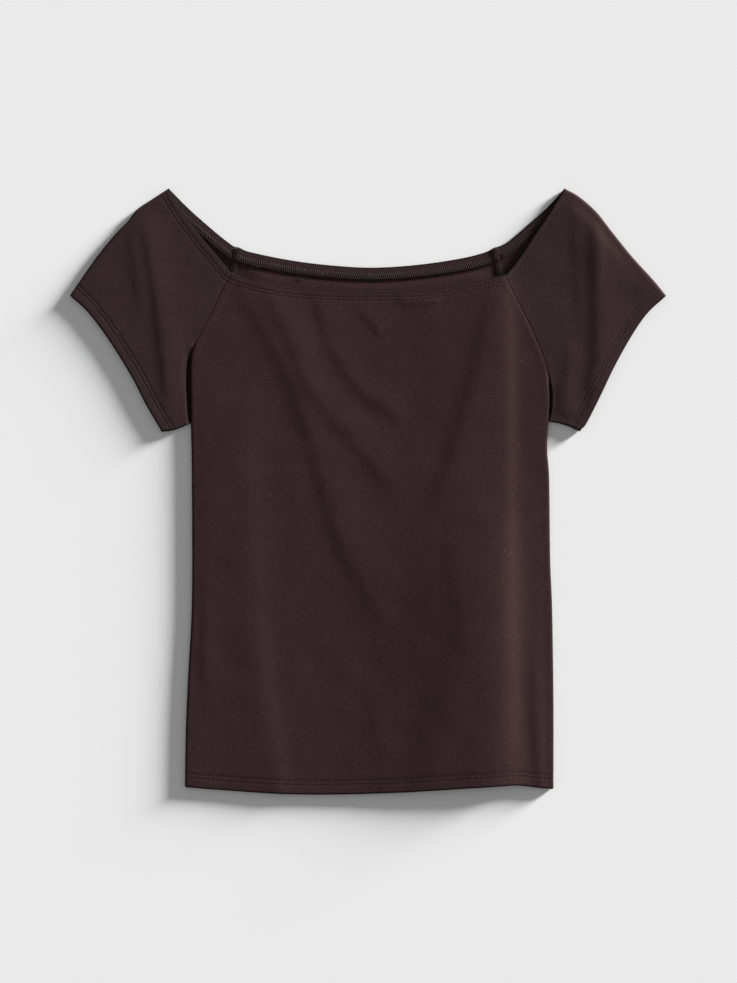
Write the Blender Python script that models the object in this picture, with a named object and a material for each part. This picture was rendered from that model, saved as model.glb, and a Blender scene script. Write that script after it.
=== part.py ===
"""Off-shoulder top in fine jersey, laid flat on its back.

Four pieces are cut and sewn: a front, a back and two raglan sleeves. Each is one closed cloth wall with its
own turned hems. All sizes are in metres. X runs across the garment, with the wearer's left at +X, Y runs from
the hem to the neck, and Z is up from the surface that the garment lies on.
"""

import math
from collections import namedtuple

import bpy
import numpy as np

# Cloth and hems
WALL = 0.001          # thickness of one layer of jersey
GAP = 0.0003          # left at each seam and between the two layers of a hem
NECK_HEM = 0.013      # depth of the turned hem round the neck
CUFF_HEM = 0.016      # depth of the turned hem of a sleeve
BODY_HEM = 0.016      # depth of the turned hem at the bottom

# Heights of the middle of each layer: the front lies over the back and over the hems of both
LAYER = WALL + GAP
BACK_Z = WALL / 2
TOP_Z = BACK_Z + 3 * LAYER
HEM_ROLL = LAYER / 2                          # radius where a hem turns
FOLD_ROLL = (TOP_Z - BACK_Z) / 2              # radius where a sleeve folds over along its top
SIDE_ROLL = (TOP_Z - BACK_Z - GAP) / 2        # radius where front and back roll towards the side seam
ROLL_LENGTH = SIDE_ROLL * math.pi / 2         # cloth taken up by that quarter turn

# How finely each form is divided
CURVE_STEPS = 10
RAGLAN_ROWS = 8
SIDE_ROWS = 13
UNDERARM_ROWS = 2
FRONT_COLUMNS = 28
BACK_COLUMNS = 12
SLEEVE_TOP_COLUMNS = 8
SLEEVE_BACK_COLUMNS = 5
ROLL_STEPS = 3
FOLD_STEPS = 4
HEM_TURN_STEPS = 4

# Corners of the flat garment, x and y, for the wearer's right (-X) and left (+X)
Corners = namedtuple("Corners", "peak neck_front neck_back tip cuff underarm hem")
CORNERS = {
    "right": Corners(
        peak=(-0.2139, 0.3255), neck_front=(-0.1462, 0.2346), neck_back=(-0.1419, 0.2626),
        tip=(-0.3204, 0.2099), cuff=(-0.2225, 0.0637), underarm=(-0.1903, 0.0728), hem=(-0.1967, -0.3179)),
    "left": Corners(
        peak=(0.2107, 0.3255), neck_front=(0.1462, 0.2325), neck_back=(0.1387, 0.2626),
        tip=(0.3204, 0.2099), cuff=(0.2279, 0.0640), underarm=(0.1940, 0.0750), hem=(0.1992, -0.3198)),
}

# Points that each edge passes on its way between two corners, x and y
Edges = namedtuple("Edges", "neck_front neck_back shoulder cuff underarm raglan_front raglan_back side")
EDGES = {
    "right": Edges(
        neck_front=[(-0.1602, 0.2515), (-0.1785, 0.2730), (-0.1989, 0.3002)],
        neck_back=[(-0.1602, 0.2766), (-0.1903, 0.3024)],
        shoulder=[(-0.2311, 0.3142), (-0.2483, 0.3023), (-0.2585, 0.2894), (-0.2720, 0.2755),
                  (-0.2913, 0.2518), (-0.3064, 0.2303)],
        cuff=[(-0.2387, 0.0916), (-0.2548, 0.1228), (-0.2795, 0.1626), (-0.3021, 0.1927)],
        underarm=[(-0.2086, 0.0655)],
        raglan_front=[(-0.1548, 0.2215), (-0.1677, 0.1938), (-0.1817, 0.1669), (-0.1893, 0.1500),
                      (-0.1909, 0.1280), (-0.1906, 0.1010)],
        raglan_back=[(-0.1520, 0.2130), (-0.1650, 0.1500), (-0.1790, 0.1020)],
        side=[(-0.1892, 0.0120), (-0.1892, -0.1170), (-0.1935, -0.2030), (-0.1957, -0.2570)]),
    "left": Edges(
        neck_front=[(0.1591, 0.2486), (0.1785, 0.2770), (0.1946, 0.3006), (0.2012, 0.3107)],
        neck_back=[(0.1516, 0.2701), (0.1817, 0.2959), (0.1956, 0.3090)],
        shoulder=[(0.2268, 0.3163), (0.2451, 0.3002), (0.2612, 0.2798), (0.2838, 0.2518), (0.3053, 0.2282)],
        cuff=[(0.2344, 0.0720), (0.2494, 0.1013), (0.2645, 0.1325), (0.2838, 0.1669), (0.3010, 0.1916)],
        underarm=[(0.2107, 0.0712)],
        raglan_front=[(0.1591, 0.2067), (0.1709, 0.1841), (0.1806, 0.1626), (0.1881, 0.1443),
                      (0.1938, 0.1228), (0.1951, 0.1000)],
        raglan_back=[(0.1500, 0.2130), (0.1650, 0.1500), (0.1810, 0.1030)],
        side=[(0.1924, 0.0450), (0.1946, 0.0120), (0.1957, -0.0740), (0.1978, -0.1280), (0.1992, -0.2240)]),
}
FRONT_NECK = [(-0.1236, 0.2271), (-0.0914, 0.2206), (-0.0495, 0.2169), (0.0065, 0.2158),
              (0.0540, 0.2165), (0.0828, 0.2206), (0.1215, 0.2282)]
BACK_NECK = [(-0.1279, 0.2572), (-0.0774, 0.2475), (-0.0260, 0.2421), (0.0130, 0.2410),
             (0.0581, 0.2443), (0.1021, 0.2508), (0.1279, 0.2572)]
HEM_LINE = [(-0.1548, -0.3212), (-0.0903, -0.3252), (-0.0258, -0.3255), (0.0387, -0.3233),
            (0.0903, -0.3201), (0.1419, -0.3169), (0.1613, -0.3158), (0.1806, -0.3179)]

# Where the front raglan seam starts to sink beside the body, as a distance from the neck, and over what length
SINK_START = {"right": 0.075, "left": 0.112}
SINK_LENGTH = 0.030
BACK_SINK_LENGTH = 0.022

# Folds of the layer on top: soft ridges, and troughs where height is negative, along a bent line
DIP = 0.0012          # deepest that a trough may sink
SIDE_HOLD = 0.014     # folds fade out over this width where an edge rolls under
HEM_HOLD = 0.020      # troughs fade out over this length before a hem
Fold = namedtuple("Fold", "height width start bend end")
FOLDS = {
    "right_breast": Fold(-0.0022, 0.013, (-0.125, 0.215), (-0.085, 0.115), (0.030, -0.010)),
    "right_breast_swell": Fold(0.0022, 0.017, (-0.100, 0.215), (-0.055, 0.140), (0.045, 0.035)),
    "upper_middle": Fold(-0.0018, 0.011, (-0.055, 0.205), (-0.020, 0.125), (0.045, 0.070)),
    "upper_middle_swell": Fold(0.0018, 0.015, (-0.030, 0.200), (0.010, 0.140), (0.060, 0.100)),
    "waist": Fold(-0.0018, 0.013, (-0.085, 0.095), (-0.058, -0.040), (0.008, -0.130)),
    "waist_swell": Fold(0.0018, 0.018, (-0.055, 0.050), (-0.030, -0.050), (0.030, -0.130)),
    "left_breast": Fold(-0.0018, 0.012, (0.130, 0.190), (0.105, 0.090), (0.060, -0.010)),
    "left_breast_swell": Fold(0.0020, 0.016, (0.105, 0.190), (0.080, 0.100), (0.040, 0.010)),
    "left_length": Fold(0.0026, 0.017, (0.150, 0.230), (0.150, -0.020), (0.152, -0.420)),
    "left_length_trough": Fold(-0.0020, 0.010, (0.174, 0.130), (0.177, -0.100), (0.177, -0.300)),
    "right_length": Fold(0.0018, 0.022, (-0.132, 0.170), (-0.140, -0.120), (-0.080, -0.380)),
    "low_middle": Fold(-0.0014, 0.013, (-0.020, -0.190), (-0.008, -0.250), (0.000, -0.310)),
    "low_left": Fold(-0.0014, 0.012, (0.105, -0.140), (0.095, -0.190), (0.080, -0.240)),
    "right_sleeve": Fold(-0.0020, 0.012, (-0.240, 0.300), (-0.225, 0.220), (-0.210, 0.100)),
    "right_sleeve_swell": Fold(0.0024, 0.015, (-0.262, 0.280), (-0.248, 0.210), (-0.235, 0.120)),
    "left_sleeve": Fold(-0.0020, 0.012, (0.252, 0.270), (0.244, 0.200), (0.232, 0.110)),
    "left_sleeve_inner": Fold(-0.0016, 0.011, (0.222, 0.300), (0.226, 0.250), (0.224, 0.200)),
    "left_sleeve_swell": Fold(0.0024, 0.015, (0.275, 0.270), (0.268, 0.220), (0.255, 0.150)),
}

Cloth = namedtuple("Cloth", "colour roughness")
JERSEY = {
    "front": Cloth((0.036, 0.020, 0.021), 0.88),
    "back": Cloth((0.032, 0.018, 0.019), 0.90),
    "sleeve_right": Cloth((0.037, 0.022, 0.022), 0.88),
    "sleeve_left": Cloth((0.037, 0.022, 0.022), 0.88),
}


def smooth_line(*points):
    """Close points along a smooth curve through the given ones."""
    p = np.array(points, float)
    p = np.vstack([2 * p[0] - p[1], p, 2 * p[-1] - p[-2]])
    t = np.linspace(0, 1, CURVE_STEPS, endpoint=False)[:, None]
    runs = []
    for a, b, c, d in zip(p, p[1:], p[2:], p[3:]):
        runs.append(b + 0.5 * ((c - a) * t + (2 * a - 5 * b + 4 * c - d) * t**2 + (3 * b - a - 3 * c + d) * t**3))
    return np.vstack([*runs, p[-2]])


def reach(line):
    """Distance of each point of a line from its start."""
    return np.concatenate([[0], np.cumsum(np.linalg.norm(np.diff(line, axis=0), axis=1))])


def at(line, distance):
    """Points of a line at these distances from its start."""
    far = reach(line)
    return np.column_stack([np.interp(distance, far, line[:, k]) for k in (0, 1)])


def left_hand(line, distance):
    """Unit directions in plan, square to the line, towards the left of someone walking along it."""
    step = 0.002
    run = at(line, distance + step) - at(line, distance - step)
    run /= np.linalg.norm(run, axis=1)[:, None]
    return np.column_stack([-run[:, 1], run[:, 0]])


def ease(value):
    """Smooth rise from 0 to 1."""
    share = np.clip(value, 0, 1)
    return share * share * (3 - 2 * share)


def hem_stations(depth):
    """Distances from a hemmed edge of the rows that the hem's two layers share: the edge itself comes first."""
    return np.array([0, WALL / 2 + HEM_ROLL, 0.4 * depth, depth])


def distance_to(line, x, y):
    """Distance in plan from each point to a line, and how far along it, from 0 to 1, the nearest place is."""
    best = np.full(x.shape, np.inf)
    share = np.zeros(x.shape)
    for k, (a, b) in enumerate(zip(line, line[1:])):
        run = b - a
        t = np.clip(((x - a[0]) * run[0] + (y - a[1]) * run[1]) / run.dot(run), 0, 1)
        gap = np.hypot(x - a[0] - t * run[0], y - a[1] - t * run[1])
        share = np.where(gap < best, (k + t) / (len(line) - 1), share)
        best = np.minimum(best, gap)
    return best, share


def fold_relief(x, y):
    """Height of all folds together at plan points, before anything holds them down."""
    t = np.linspace(0, 1, 2 * CURVE_STEPS)[:, None]
    total = np.zeros(x.shape)
    for fold in FOLDS.values():
        start, bend, end = map(np.array, fold[2:])
        line = (1 - t)**2 * start + 2 * t * (1 - t) * bend + t**2 * end
        gap, along = distance_to(line, x, y)
        taper = np.sqrt(np.clip(4 * along * (1 - along), 0, 1))
        total += fold.height * taper * np.exp(-(gap / fold.width)**2)
    return total


def top_height(x, y, side_hold, hem_hold):
    """Height of the middle of the layer on top."""
    relief = fold_relief(x, y) * side_hold
    return TOP_Z + np.where(relief < 0, -DIP * np.tanh(-relief / DIP) * hem_hold, relief)


def raglan_line(side, face):
    """Seam between sleeve and body from the neck to the underarm, on the front or the back."""
    corner = CORNERS[side]
    edge = EDGES[side]
    if face > 0:
        return smooth_line(corner.neck_front, *edge.raglan_front, corner.underarm)
    return smooth_line(corner.neck_back, *edge.raglan_back, corner.underarm)


def raglan_rows(line):
    """Distances down a raglan seam from the neck edge to the underarm."""
    hem = hem_stations(NECK_HEM)
    return np.concatenate([hem, np.linspace(NECK_HEM, reach(line)[-1], RAGLAN_ROWS + 1)[1:]])


def raglan_bend(side, face, line, distance):
    """How far the seam's edges roll under, from 0 for flush to 1 for a quarter turn."""
    if face > 0:
        return ease((distance - SINK_START[side]) / SINK_LENGTH)
    return ease((distance - reach(line)[-1] + BACK_SINK_LENGTH) / BACK_SINK_LENGTH)


def closing_rows(line, depth, steps):
    """Distances along a seam that starts at the underarm and ends at a hemmed edge, without the start."""
    end = reach(line)[-1]
    return np.concatenate([np.linspace(0, end - depth, steps + 1)[1:], end - hem_stations(depth)[2::-1]])


# One edge of a layer: plan points of the middle of its wall, the outward directions, and how far it rolls under
Edge = namedtuple("Edge", "plan out bend")


def body_edge(side, face):
    """Edge of the front or back from the neck corner down the raglan and side seams to the hem."""
    outward = 1 if side == "left" else -1
    raglan = raglan_line(side, face)
    seam = smooth_line(CORNERS[side].underarm, *EDGES[side].side, CORNERS[side].hem)
    down = raglan_rows(raglan)
    on = closing_rows(seam, BODY_HEM, SIDE_ROWS)
    out = outward * np.vstack([left_hand(raglan, down), left_hand(seam, on)])
    bend = np.concatenate([raglan_bend(side, face, raglan, down), np.ones(len(on))])
    rolled = np.sin(bend * math.pi / 2)[:, None]
    plan = np.vstack([at(raglan, down), at(seam, on)]) - out * (GAP / 2 * (1 - rolled) + WALL / 2 * rolled)
    return Edge(plan, out, bend)


def sleeve_edge(side, face):
    """Edge of a sleeve's layer from the neck corner down the raglan seam and along the underarm seam to the cuff."""
    outward = -1 if side == "left" else 1
    corner = CORNERS[side]
    raglan = raglan_line(side, face)
    seam = smooth_line(corner.underarm, *EDGES[side].underarm, corner.cuff)
    down = raglan_rows(raglan)
    on = closing_rows(seam, CUFF_HEM, UNDERARM_ROWS)
    square_down = outward * left_hand(raglan, down)
    square_on = outward * left_hand(seam, on)
    bend = np.concatenate([raglan_bend(side, face, raglan, down), np.ones(len(on))])
    rolled = np.sin(bend[:len(down)] * math.pi / 2)[:, None]
    beside = at(raglan, down) - square_down * (GAP / 2 * (1 - rolled) + (GAP + WALL / 2) * rolled)
    below = at(seam, on) - square_on * WALL / 2
    square_down[-1] += square_on[0]
    square_down[-1] /= np.linalg.norm(square_down[-1])
    return Edge(np.vstack([beside, below]), np.vstack([square_down, square_on]), bend)


def shoulder_fold(side):
    """Line on which a sleeve's top fold turns, with a point for each row of the sleeve, and its outward directions."""
    outward = 1 if side == "left" else -1
    corner = CORNERS[side]
    line = smooth_line(corner.peak, *EDGES[side].shoulder, corner.tip)
    end = reach(line)[-1]
    seam = reach(raglan_line(side, 1))[-1] - NECK_HEM
    rest = reach(smooth_line(corner.underarm, *EDGES[side].underarm, corner.cuff))[-1] - CUFF_HEM
    share = np.concatenate([np.linspace(0, seam, RAGLAN_ROWS + 1)[1:],
                            seam + np.linspace(0, rest, UNDERARM_ROWS + 1)[1:]]) / (seam + rest)
    middle = NECK_HEM + share * (end - NECK_HEM - CUFF_HEM)
    distance = np.concatenate([hem_stations(NECK_HEM), middle, end - hem_stations(CUFF_HEM)[2::-1]])
    out = outward * left_hand(line, distance)
    return at(line, distance) - out * (FOLD_ROLL + WALL / 2), out


def patch(first_side, last_side, first_row, last_row, columns):
    """Plan points of a four-sided piece: rows run from side to side, and the end rows bow as the given lines do."""
    u = np.linspace(0, 1, columns + 1)
    walked = (reach(first_side) / reach(first_side)[-1] + reach(last_side) / reach(last_side)[-1]) / 2
    v = walked[:, None, None]
    bows = []
    for line in (first_row, last_row):
        across = at(line, u * reach(line)[-1])
        chord = across[0] + u[:, None] * (across[-1] - across[0])
        bows.append((across - chord)[None])
    u = u[None, :, None]
    return first_side[:, None] * (1 - u) + last_side[:, None] * u + bows[0] * (1 - v) + bows[1] * v


def roll_columns(edge):
    """Columns of the strip that rolls under along an edge, from where it is still flat to the edge itself."""
    turn = np.maximum(edge.bend, 0.002) * math.pi / 2
    radius = ROLL_LENGTH / turn
    tilt = turn[:, None] * np.linspace(0, 1, ROLL_STEPS + 1)
    ahead = radius[:, None] * (np.sin(tilt) - np.sin(turn)[:, None])
    plan = edge.plan[:, None] + edge.out[:, None] * ahead[..., None]
    drop = radius[:, None] * (1 - np.cos(tilt))
    out = np.repeat(edge.out[:, None], ROLL_STEPS + 1, axis=1)
    return plan, drop, tilt, out


def layer(plan, drop, tilt, out, face, side_hold, hem_hold):
    """Middle points of a layer and their outside directions. face is 1 on top, and -1 for the layer that rests."""
    x, y = plan[..., 0], plan[..., 1]
    up = np.zeros(plan.shape[:2] + (3,))
    up[..., 2] = face
    height = np.full(x.shape, BACK_Z)
    if face > 0:
        step = 0.0002
        height = top_height(x, y, side_hold, hem_hold)
        up[..., 0] = top_height(x - step, y, side_hold, hem_hold) - top_height(x + step, y, side_hold, hem_hold)
        up[..., 1] = top_height(x, y - step, side_hold, hem_hold) - top_height(x, y + step, side_hold, hem_hold)
        up[..., :2] /= 2 * step
        up /= np.linalg.norm(up, axis=-1)[..., None]
    points = np.dstack([x, y, height - face * drop])
    sideways = np.dstack([out, np.zeros(x.shape)])
    normals = up * np.cos(tilt)[..., None] + sideways * np.sin(tilt)[..., None]
    return points, normals


def hold_near(edge, plan):
    """How much of a fold is left beside an edge: all of it where the edge is flush, none where it rolls under."""
    gap = np.linalg.norm(plan - edge.plan[:, None], axis=-1) - SIDE_ROLL
    return 1 - edge.bend[:, None] * (1 - ease(gap / SIDE_HOLD))


def hold_at_hems(edge, first_depth, last_depth):
    """How much of a trough is left on each row: none on the rows of a hem."""
    walked = reach(edge.plan)
    start = ease((walked - first_depth) / HEM_HOLD)
    end = ease((walked[-1] - walked - last_depth) / HEM_HOLD)
    return (start * end)[:, None]


def hem_turn(points, normals, rows):
    """Rows of a hem from its free edge to where its turn meets the cloth: points is given from the edge inwards."""
    into = points[1] - points[0]
    into -= normals[0] * (into * normals[0]).sum(-1)[:, None]
    into /= np.linalg.norm(into, axis=-1)[:, None]
    centre = points[0] - HEM_ROLL * normals[0]
    hem_points = [points[k] - LAYER * normals[k] for k in range(rows - 1, -1, -1)]
    hem_normals = [-normals[k] for k in range(rows - 1, -1, -1)]
    for k in range(1, HEM_TURN_STEPS):
        turn = math.pi * (1 - k / HEM_TURN_STEPS)
        outwards = math.cos(turn) * normals[0] - math.sin(turn) * into
        hem_points.append(centre + HEM_ROLL * outwards)
        hem_normals.append(outwards)
    return np.array(hem_points), np.array(hem_normals)


def cloth_wall(name, points, normals):
    """Closed wall on both sides of the middle points, with turned hems at its first and last rows."""
    rows = len(hem_stations(NECK_HEM)) - 1
    first, first_out = hem_turn(points, normals, rows)
    last, last_out = hem_turn(points[::-1], normals[::-1], rows)
    middle = np.concatenate([first, points, last[::-1]])
    out = np.concatenate([first_out, normals, last_out[::-1]])
    count, width = middle.shape[:2]
    corners = np.concatenate([(middle + WALL / 2 * out).reshape(-1, 3), (middle - WALL / 2 * out).reshape(-1, 3)])
    below = count * width
    faces = []
    for i in range(count - 1):
        for j in range(width - 1):
            a, b, c, d = i * width + j, (i + 1) * width + j, (i + 1) * width + j + 1, i * width + j + 1
            faces.append((a, b, c, d))
            faces.append((a + below, d + below, c + below, b + below))
    for i in range(count - 1):
        for a, b in ((i * width, (i + 1) * width), ((i + 2) * width - 1, (i + 1) * width - 1)):
            faces.append((b, a, a + below, b + below))
    for j in range(width - 1):
        for a, b in ((j + 1, j), (below - width + j, below - width + j + 1)):
            faces.append((b, a, a + below, b + below))
    mesh = bpy.data.meshes.new(name)
    mesh.from_pydata(corners.tolist(), [], faces)
    return finish(name, mesh)


def finish(name, mesh):
    """Object for a piece, with faces turned outwards, smooth shading and its jersey."""
    piece = bpy.data.objects.new(name, mesh)
    bpy.context.collection.objects.link(piece)
    bpy.context.view_layer.objects.active = piece
    bpy.ops.object.mode_set(mode="EDIT")
    bpy.ops.mesh.select_all(action="SELECT")
    bpy.ops.mesh.normals_make_consistent(inside=False)
    bpy.ops.object.mode_set(mode="OBJECT")
    mesh.shade_smooth()
    mesh.set_sharp_from_angle(angle=math.radians(40))
    material = bpy.data.materials.new(name + "_jersey")
    material.use_nodes = True
    shader = material.node_tree.nodes["Principled BSDF"]
    shader.inputs["Base Color"].default_value = (*JERSEY[name].colour, 1)
    shader.inputs["Roughness"].default_value = JERSEY[name].roughness
    shader.inputs["Metallic"].default_value = 0
    mesh.materials.append(material)
    return piece


def body_panel(name, face, neck_points, columns):
    """Front or back: a patch between its two long edges, with both edges rolled towards the side seams."""
    edges = [body_edge(side, face) for side in ("right", "left")]
    rolls = [roll_columns(edge) for edge in edges]
    corners = [CORNERS[side].neck_front if face > 0 else CORNERS[side].neck_back for side in ("right", "left")]
    neck = smooth_line(corners[0], *neck_points, corners[1])
    hem = smooth_line(CORNERS["right"].hem, *HEM_LINE, CORNERS["left"].hem)
    core = patch(rolls[0][0][:, 0], rolls[1][0][:, 0], neck, hem, columns)
    plan = np.concatenate([rolls[0][0][:, :0:-1], core, rolls[1][0][:, 1:]], axis=1)
    flat = np.zeros(core.shape[:2])
    drop = np.concatenate([rolls[0][1][:, :0:-1], flat, rolls[1][1][:, 1:]], axis=1)
    tilt = np.concatenate([rolls[0][2][:, :0:-1], flat, rolls[1][2][:, 1:]], axis=1)
    out = np.concatenate([rolls[0][3][:, :0:-1], np.zeros(core.shape), rolls[1][3][:, 1:]], axis=1)
    side_hold = hold_near(edges[0], plan) * hold_near(edges[1], plan)
    hem_hold = hold_at_hems(edges[0], NECK_HEM, BODY_HEM)
    points, normals = layer(plan, drop, tilt, out, face, side_hold, hem_hold)
    return cloth_wall(name, points[1:-1], normals[1:-1])


def sleeve_layer(side, face, fold, columns):
    """One layer of a sleeve, with columns from the seam that rolls under to the line of the top fold."""
    edge = sleeve_edge(side, face)
    plan, drop, tilt, out = roll_columns(edge)
    corner = CORNERS[side]
    if face > 0:
        neck = smooth_line(corner.neck_front, *EDGES[side].neck_front, corner.peak)
    else:
        neck = smooth_line(corner.neck_back, *EDGES[side].neck_back, corner.peak)
    cuff = smooth_line(corner.cuff, *EDGES[side].cuff, corner.tip)
    core = patch(plan[:, 0], fold, neck, cuff, columns)
    flat = np.zeros(core.shape[:2])
    plan = np.concatenate([plan[:, :0:-1], core], axis=1)
    drop = np.concatenate([drop[:, :0:-1], flat], axis=1)
    tilt = np.concatenate([tilt[:, :0:-1], flat], axis=1)
    out = np.concatenate([out[:, :0:-1], np.zeros(core.shape)], axis=1)
    beside_fold = ease(np.linalg.norm(plan - fold[:, None], axis=-1) / SIDE_HOLD)
    side_hold = hold_near(edge, plan) * beside_fold
    hem_hold = hold_at_hems(edge, NECK_HEM, CUFF_HEM)
    return layer(plan, drop, tilt, out, face, side_hold, hem_hold)


def sleeve(name, side):
    """Sleeve: one piece from the front raglan seam over its top fold to the back raglan seam."""
    fold, out = shoulder_fold(side)
    top, top_out = sleeve_layer(side, 1, fold, SLEEVE_TOP_COLUMNS)
    under, under_out = sleeve_layer(side, -1, fold, SLEEVE_BACK_COLUMNS)
    outwards = np.column_stack([out, np.zeros(len(out))])
    centre = np.column_stack([fold, np.full(len(fold), (TOP_Z + BACK_Z) / 2)])
    turn_out = []
    for k in range(1, FOLD_STEPS):
        turn = math.pi * k / FOLD_STEPS
        turn_out.append(math.cos(turn) * np.array([0, 0, 1]) + math.sin(turn) * outwards)
    turn_out = np.stack(turn_out, axis=1)
    turned = centre[:, None] + FOLD_ROLL * turn_out
    points = np.concatenate([top, turned, under[:, ::-1]], axis=1)
    normals = np.concatenate([top_out, turn_out, under_out[:, ::-1]], axis=1)
    return cloth_wall(name, points[1:-1], normals[1:-1])


def main():
    for item in list(bpy.data.objects):
        bpy.data.objects.remove(item)
    body_panel("front", 1, FRONT_NECK, FRONT_COLUMNS)
    body_panel("back", -1, BACK_NECK, BACK_COLUMNS)
    sleeve("sleeve_right", "right")
    sleeve("sleeve_left", "left")


main()
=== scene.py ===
"""Looks of the off-shoulder top in dark brown jersey, laid flat on its back on a pale floor.

Four cut pieces lie on their solids' forms as thin shells: front, back and two raglan sleeves, each with
turned, twin-stitched hems. All sizes are in metres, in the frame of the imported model: +X is the wearer's
left, +Y runs from hem to neck, and +Z is up, towards the camera.
"""

import math
from collections import namedtuple

import bpy
import numpy as np
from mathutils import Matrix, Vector


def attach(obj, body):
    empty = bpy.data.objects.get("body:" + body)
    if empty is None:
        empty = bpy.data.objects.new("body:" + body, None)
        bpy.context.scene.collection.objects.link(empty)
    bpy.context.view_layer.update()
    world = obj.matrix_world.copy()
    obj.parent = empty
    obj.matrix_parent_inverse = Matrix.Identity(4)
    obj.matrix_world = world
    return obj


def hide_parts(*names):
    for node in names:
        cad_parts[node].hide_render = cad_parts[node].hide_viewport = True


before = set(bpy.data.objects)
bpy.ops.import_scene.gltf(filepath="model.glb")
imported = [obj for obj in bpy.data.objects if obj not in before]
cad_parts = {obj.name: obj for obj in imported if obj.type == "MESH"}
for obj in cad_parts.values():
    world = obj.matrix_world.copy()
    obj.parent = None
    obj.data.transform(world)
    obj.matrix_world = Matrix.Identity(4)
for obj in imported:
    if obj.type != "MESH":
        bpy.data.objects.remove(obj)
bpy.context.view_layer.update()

# Photo and camera: the camera looks straight down on the garment
PHOTO_HEIGHT = 983
METRES_A_PIXEL = 0.001075
VIEW_CENTRE = (0.0005, -0.0003)
CAMERA_HEIGHT = 3.0
SENSOR_HEIGHT = 0.024

# Light: a broad low key from the upper right, and an even fill all round
KEY_AZIMUTH = math.radians(34)
KEY_ELEVATION = math.radians(7)
KEY_SPREAD = math.radians(12)
KEY_STRENGTH = 18.6
FILL_STRENGTH = 0.31
FLOOR_SIZE = 8.0
FLOOR_DEPTH = 0.0002
FLOOR_COLOUR = (0.80, 0.80, 0.80)

# Cloth
WALL = 0.001
GAP = 0.0003
LAYER = WALL + GAP
BACK_Z = WALL / 2
TOP_Z = BACK_Z + 3 * LAYER
HEM_ROLL = LAYER / 2
FOLD_ROLL = (TOP_Z - BACK_Z) / 2
SIDE_ROLL = (TOP_Z - BACK_Z - GAP) / 2
ROLL_LENGTH = SIDE_ROLL * math.pi / 2
LEAST_BEND = 0.002           # an edge that lies flush still rolls under by this share

# Turned hems: how deep, and how far in from the edge the twin needle rows run
Hem = namedtuple("Hem", "depth needles")
NECK_HEM = Hem(0.0130, (0.0074, 0.0112))
CUFF_HEM = Hem(0.0160, (0.0104, 0.0146))
BODY_HEM = Hem(0.0160, (0.0106, 0.0148))
NEEDLE_REACH = 0.0012        # rows are close together this far on both sides of a needle row
NEEDLE_STEP = 0.0004
HEM_STEP = 0.0016
NEEDLE_PRESS = 0.00017       # how far a needle row pulls the cloth in
NEEDLE_PRESS_WIDTH = 0.0008

# Sewing thread
STITCH_PITCH = 0.0023
STITCH_LENGTH = 0.0017
STITCH_LENGTHS = (0.92, 1.06)    # shortest and longest, as shares of that
STITCH_SINK = 0.35           # share of a stitch's thickness that sinks into the cloth
STITCH_JITTER = 0.00004
STITCH_SIDES = 6
STITCH_STEP = 0.0006         # a stitch's direction is measured over this distance
THREAD = 0.00040
ROW_STOP = 0.0030            # stitch rows end this far from a seam
UP = np.array([0.0, 0.0, 1.0])

# Overlocked allowances of the back raglan seams, inside the neck
OVERLOCK_TOP = 0.0012
OVERLOCK_LENGTH = 0.0420
OVERLOCK_ROWS = 40
OVERLOCK_COLUMNS = 6
OVERLOCK_WIDTH = 0.0052
OVERLOCK_WALL = 0.0006
OVERLOCK_CLEAR = 0.00036     # it lies this far above the cloth
OVERLOCK_SLOPE = 0.003       # it steps down past the neck hem over this length
OVERLOCK_RISE = 0.00025
OVERLOCK_CROWN = (0.12, 0.88)    # the part of a half wave that it bulges up in
OVERLOCK_RIPPLE = 0.00025
OVERLOCK_RIPPLE_TURN = 900
# How far its UV maps are shifted, so that it takes no hem puckers and no painted shade of a folded edge or trench
OVERLOCK_MAPS = {"Cloth": 0.0, "First": 0.1, "Last": 0.1, "Trench": 1.0}

# Threads over those allowances, leaning one way and the other, and the chains along their two edges
OVERLOCK_PITCH = 0.0011
OVERLOCK_SEED = 11
OVERLOCK_STOP = 0.0006
OVERLOCK_STAND = 0.1
OVERLOCK_THREAD = (OVERLOCK_WIDTH * 1.08, THREAD * 0.95)
OVERLOCK_LENGTHS = (0.94, 1.06)
OVERLOCK_LEANS = (-0.35, 0.75)
OVERLOCK_LEAN_SPREAD = 0.00012
OVERLOCK_LIFT_SPREAD = 0.00005
OVERLOCK_EDGES = (0.02, 1.0)
OVERLOCK_EDGE_STOP = 0.001
OVERLOCK_EDGE_THREAD = (OVERLOCK_PITCH * 1.25, THREAD * 1.25)
OVERLOCK_EDGE_LENGTHS = (0.85, 1.15)

# Looper threads on the inside of the neck hem: flat bundles, one to a stitch, that lean along the hem
LOOP_SEED = 3
LOOP_PITCH = 0.0021
LOOP_LEAN = 0.0009
LOOP_LEAN_SPREAD = 0.00015
LOOP_WIDTH = 0.00115
LOOP_HEIGHT = 0.00062
LOOP_PAST = 0.0008           # they start this far past the upper needle row
LOOP_STAND = 0.4             # and stand out of the cloth by this share of a thread
EDGE_PITCH = STITCH_PITCH * 0.8  # threads along the hem's raw edge
EDGE_WIDTH = THREAD * 1.7
EDGE_LIFT = 0.0002
EDGE_LENGTHS = (0.7, 1.1)

# Loose thread ends at the back neck: where they lie, and the place beside it and the heading of each
THREAD_TAIL = (-0.0745, 0.2290, 0.00255)
THREAD_END_LENGTH = 0.0042
THREAD_ENDS = ((0, 0, 0.25), (0.0030, -0.0008, -0.45), (0.0058, -0.0002, 0.5), (0.0016, -0.0016, 1.0),
               (0.0046, -0.0018, 0.05))

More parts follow.
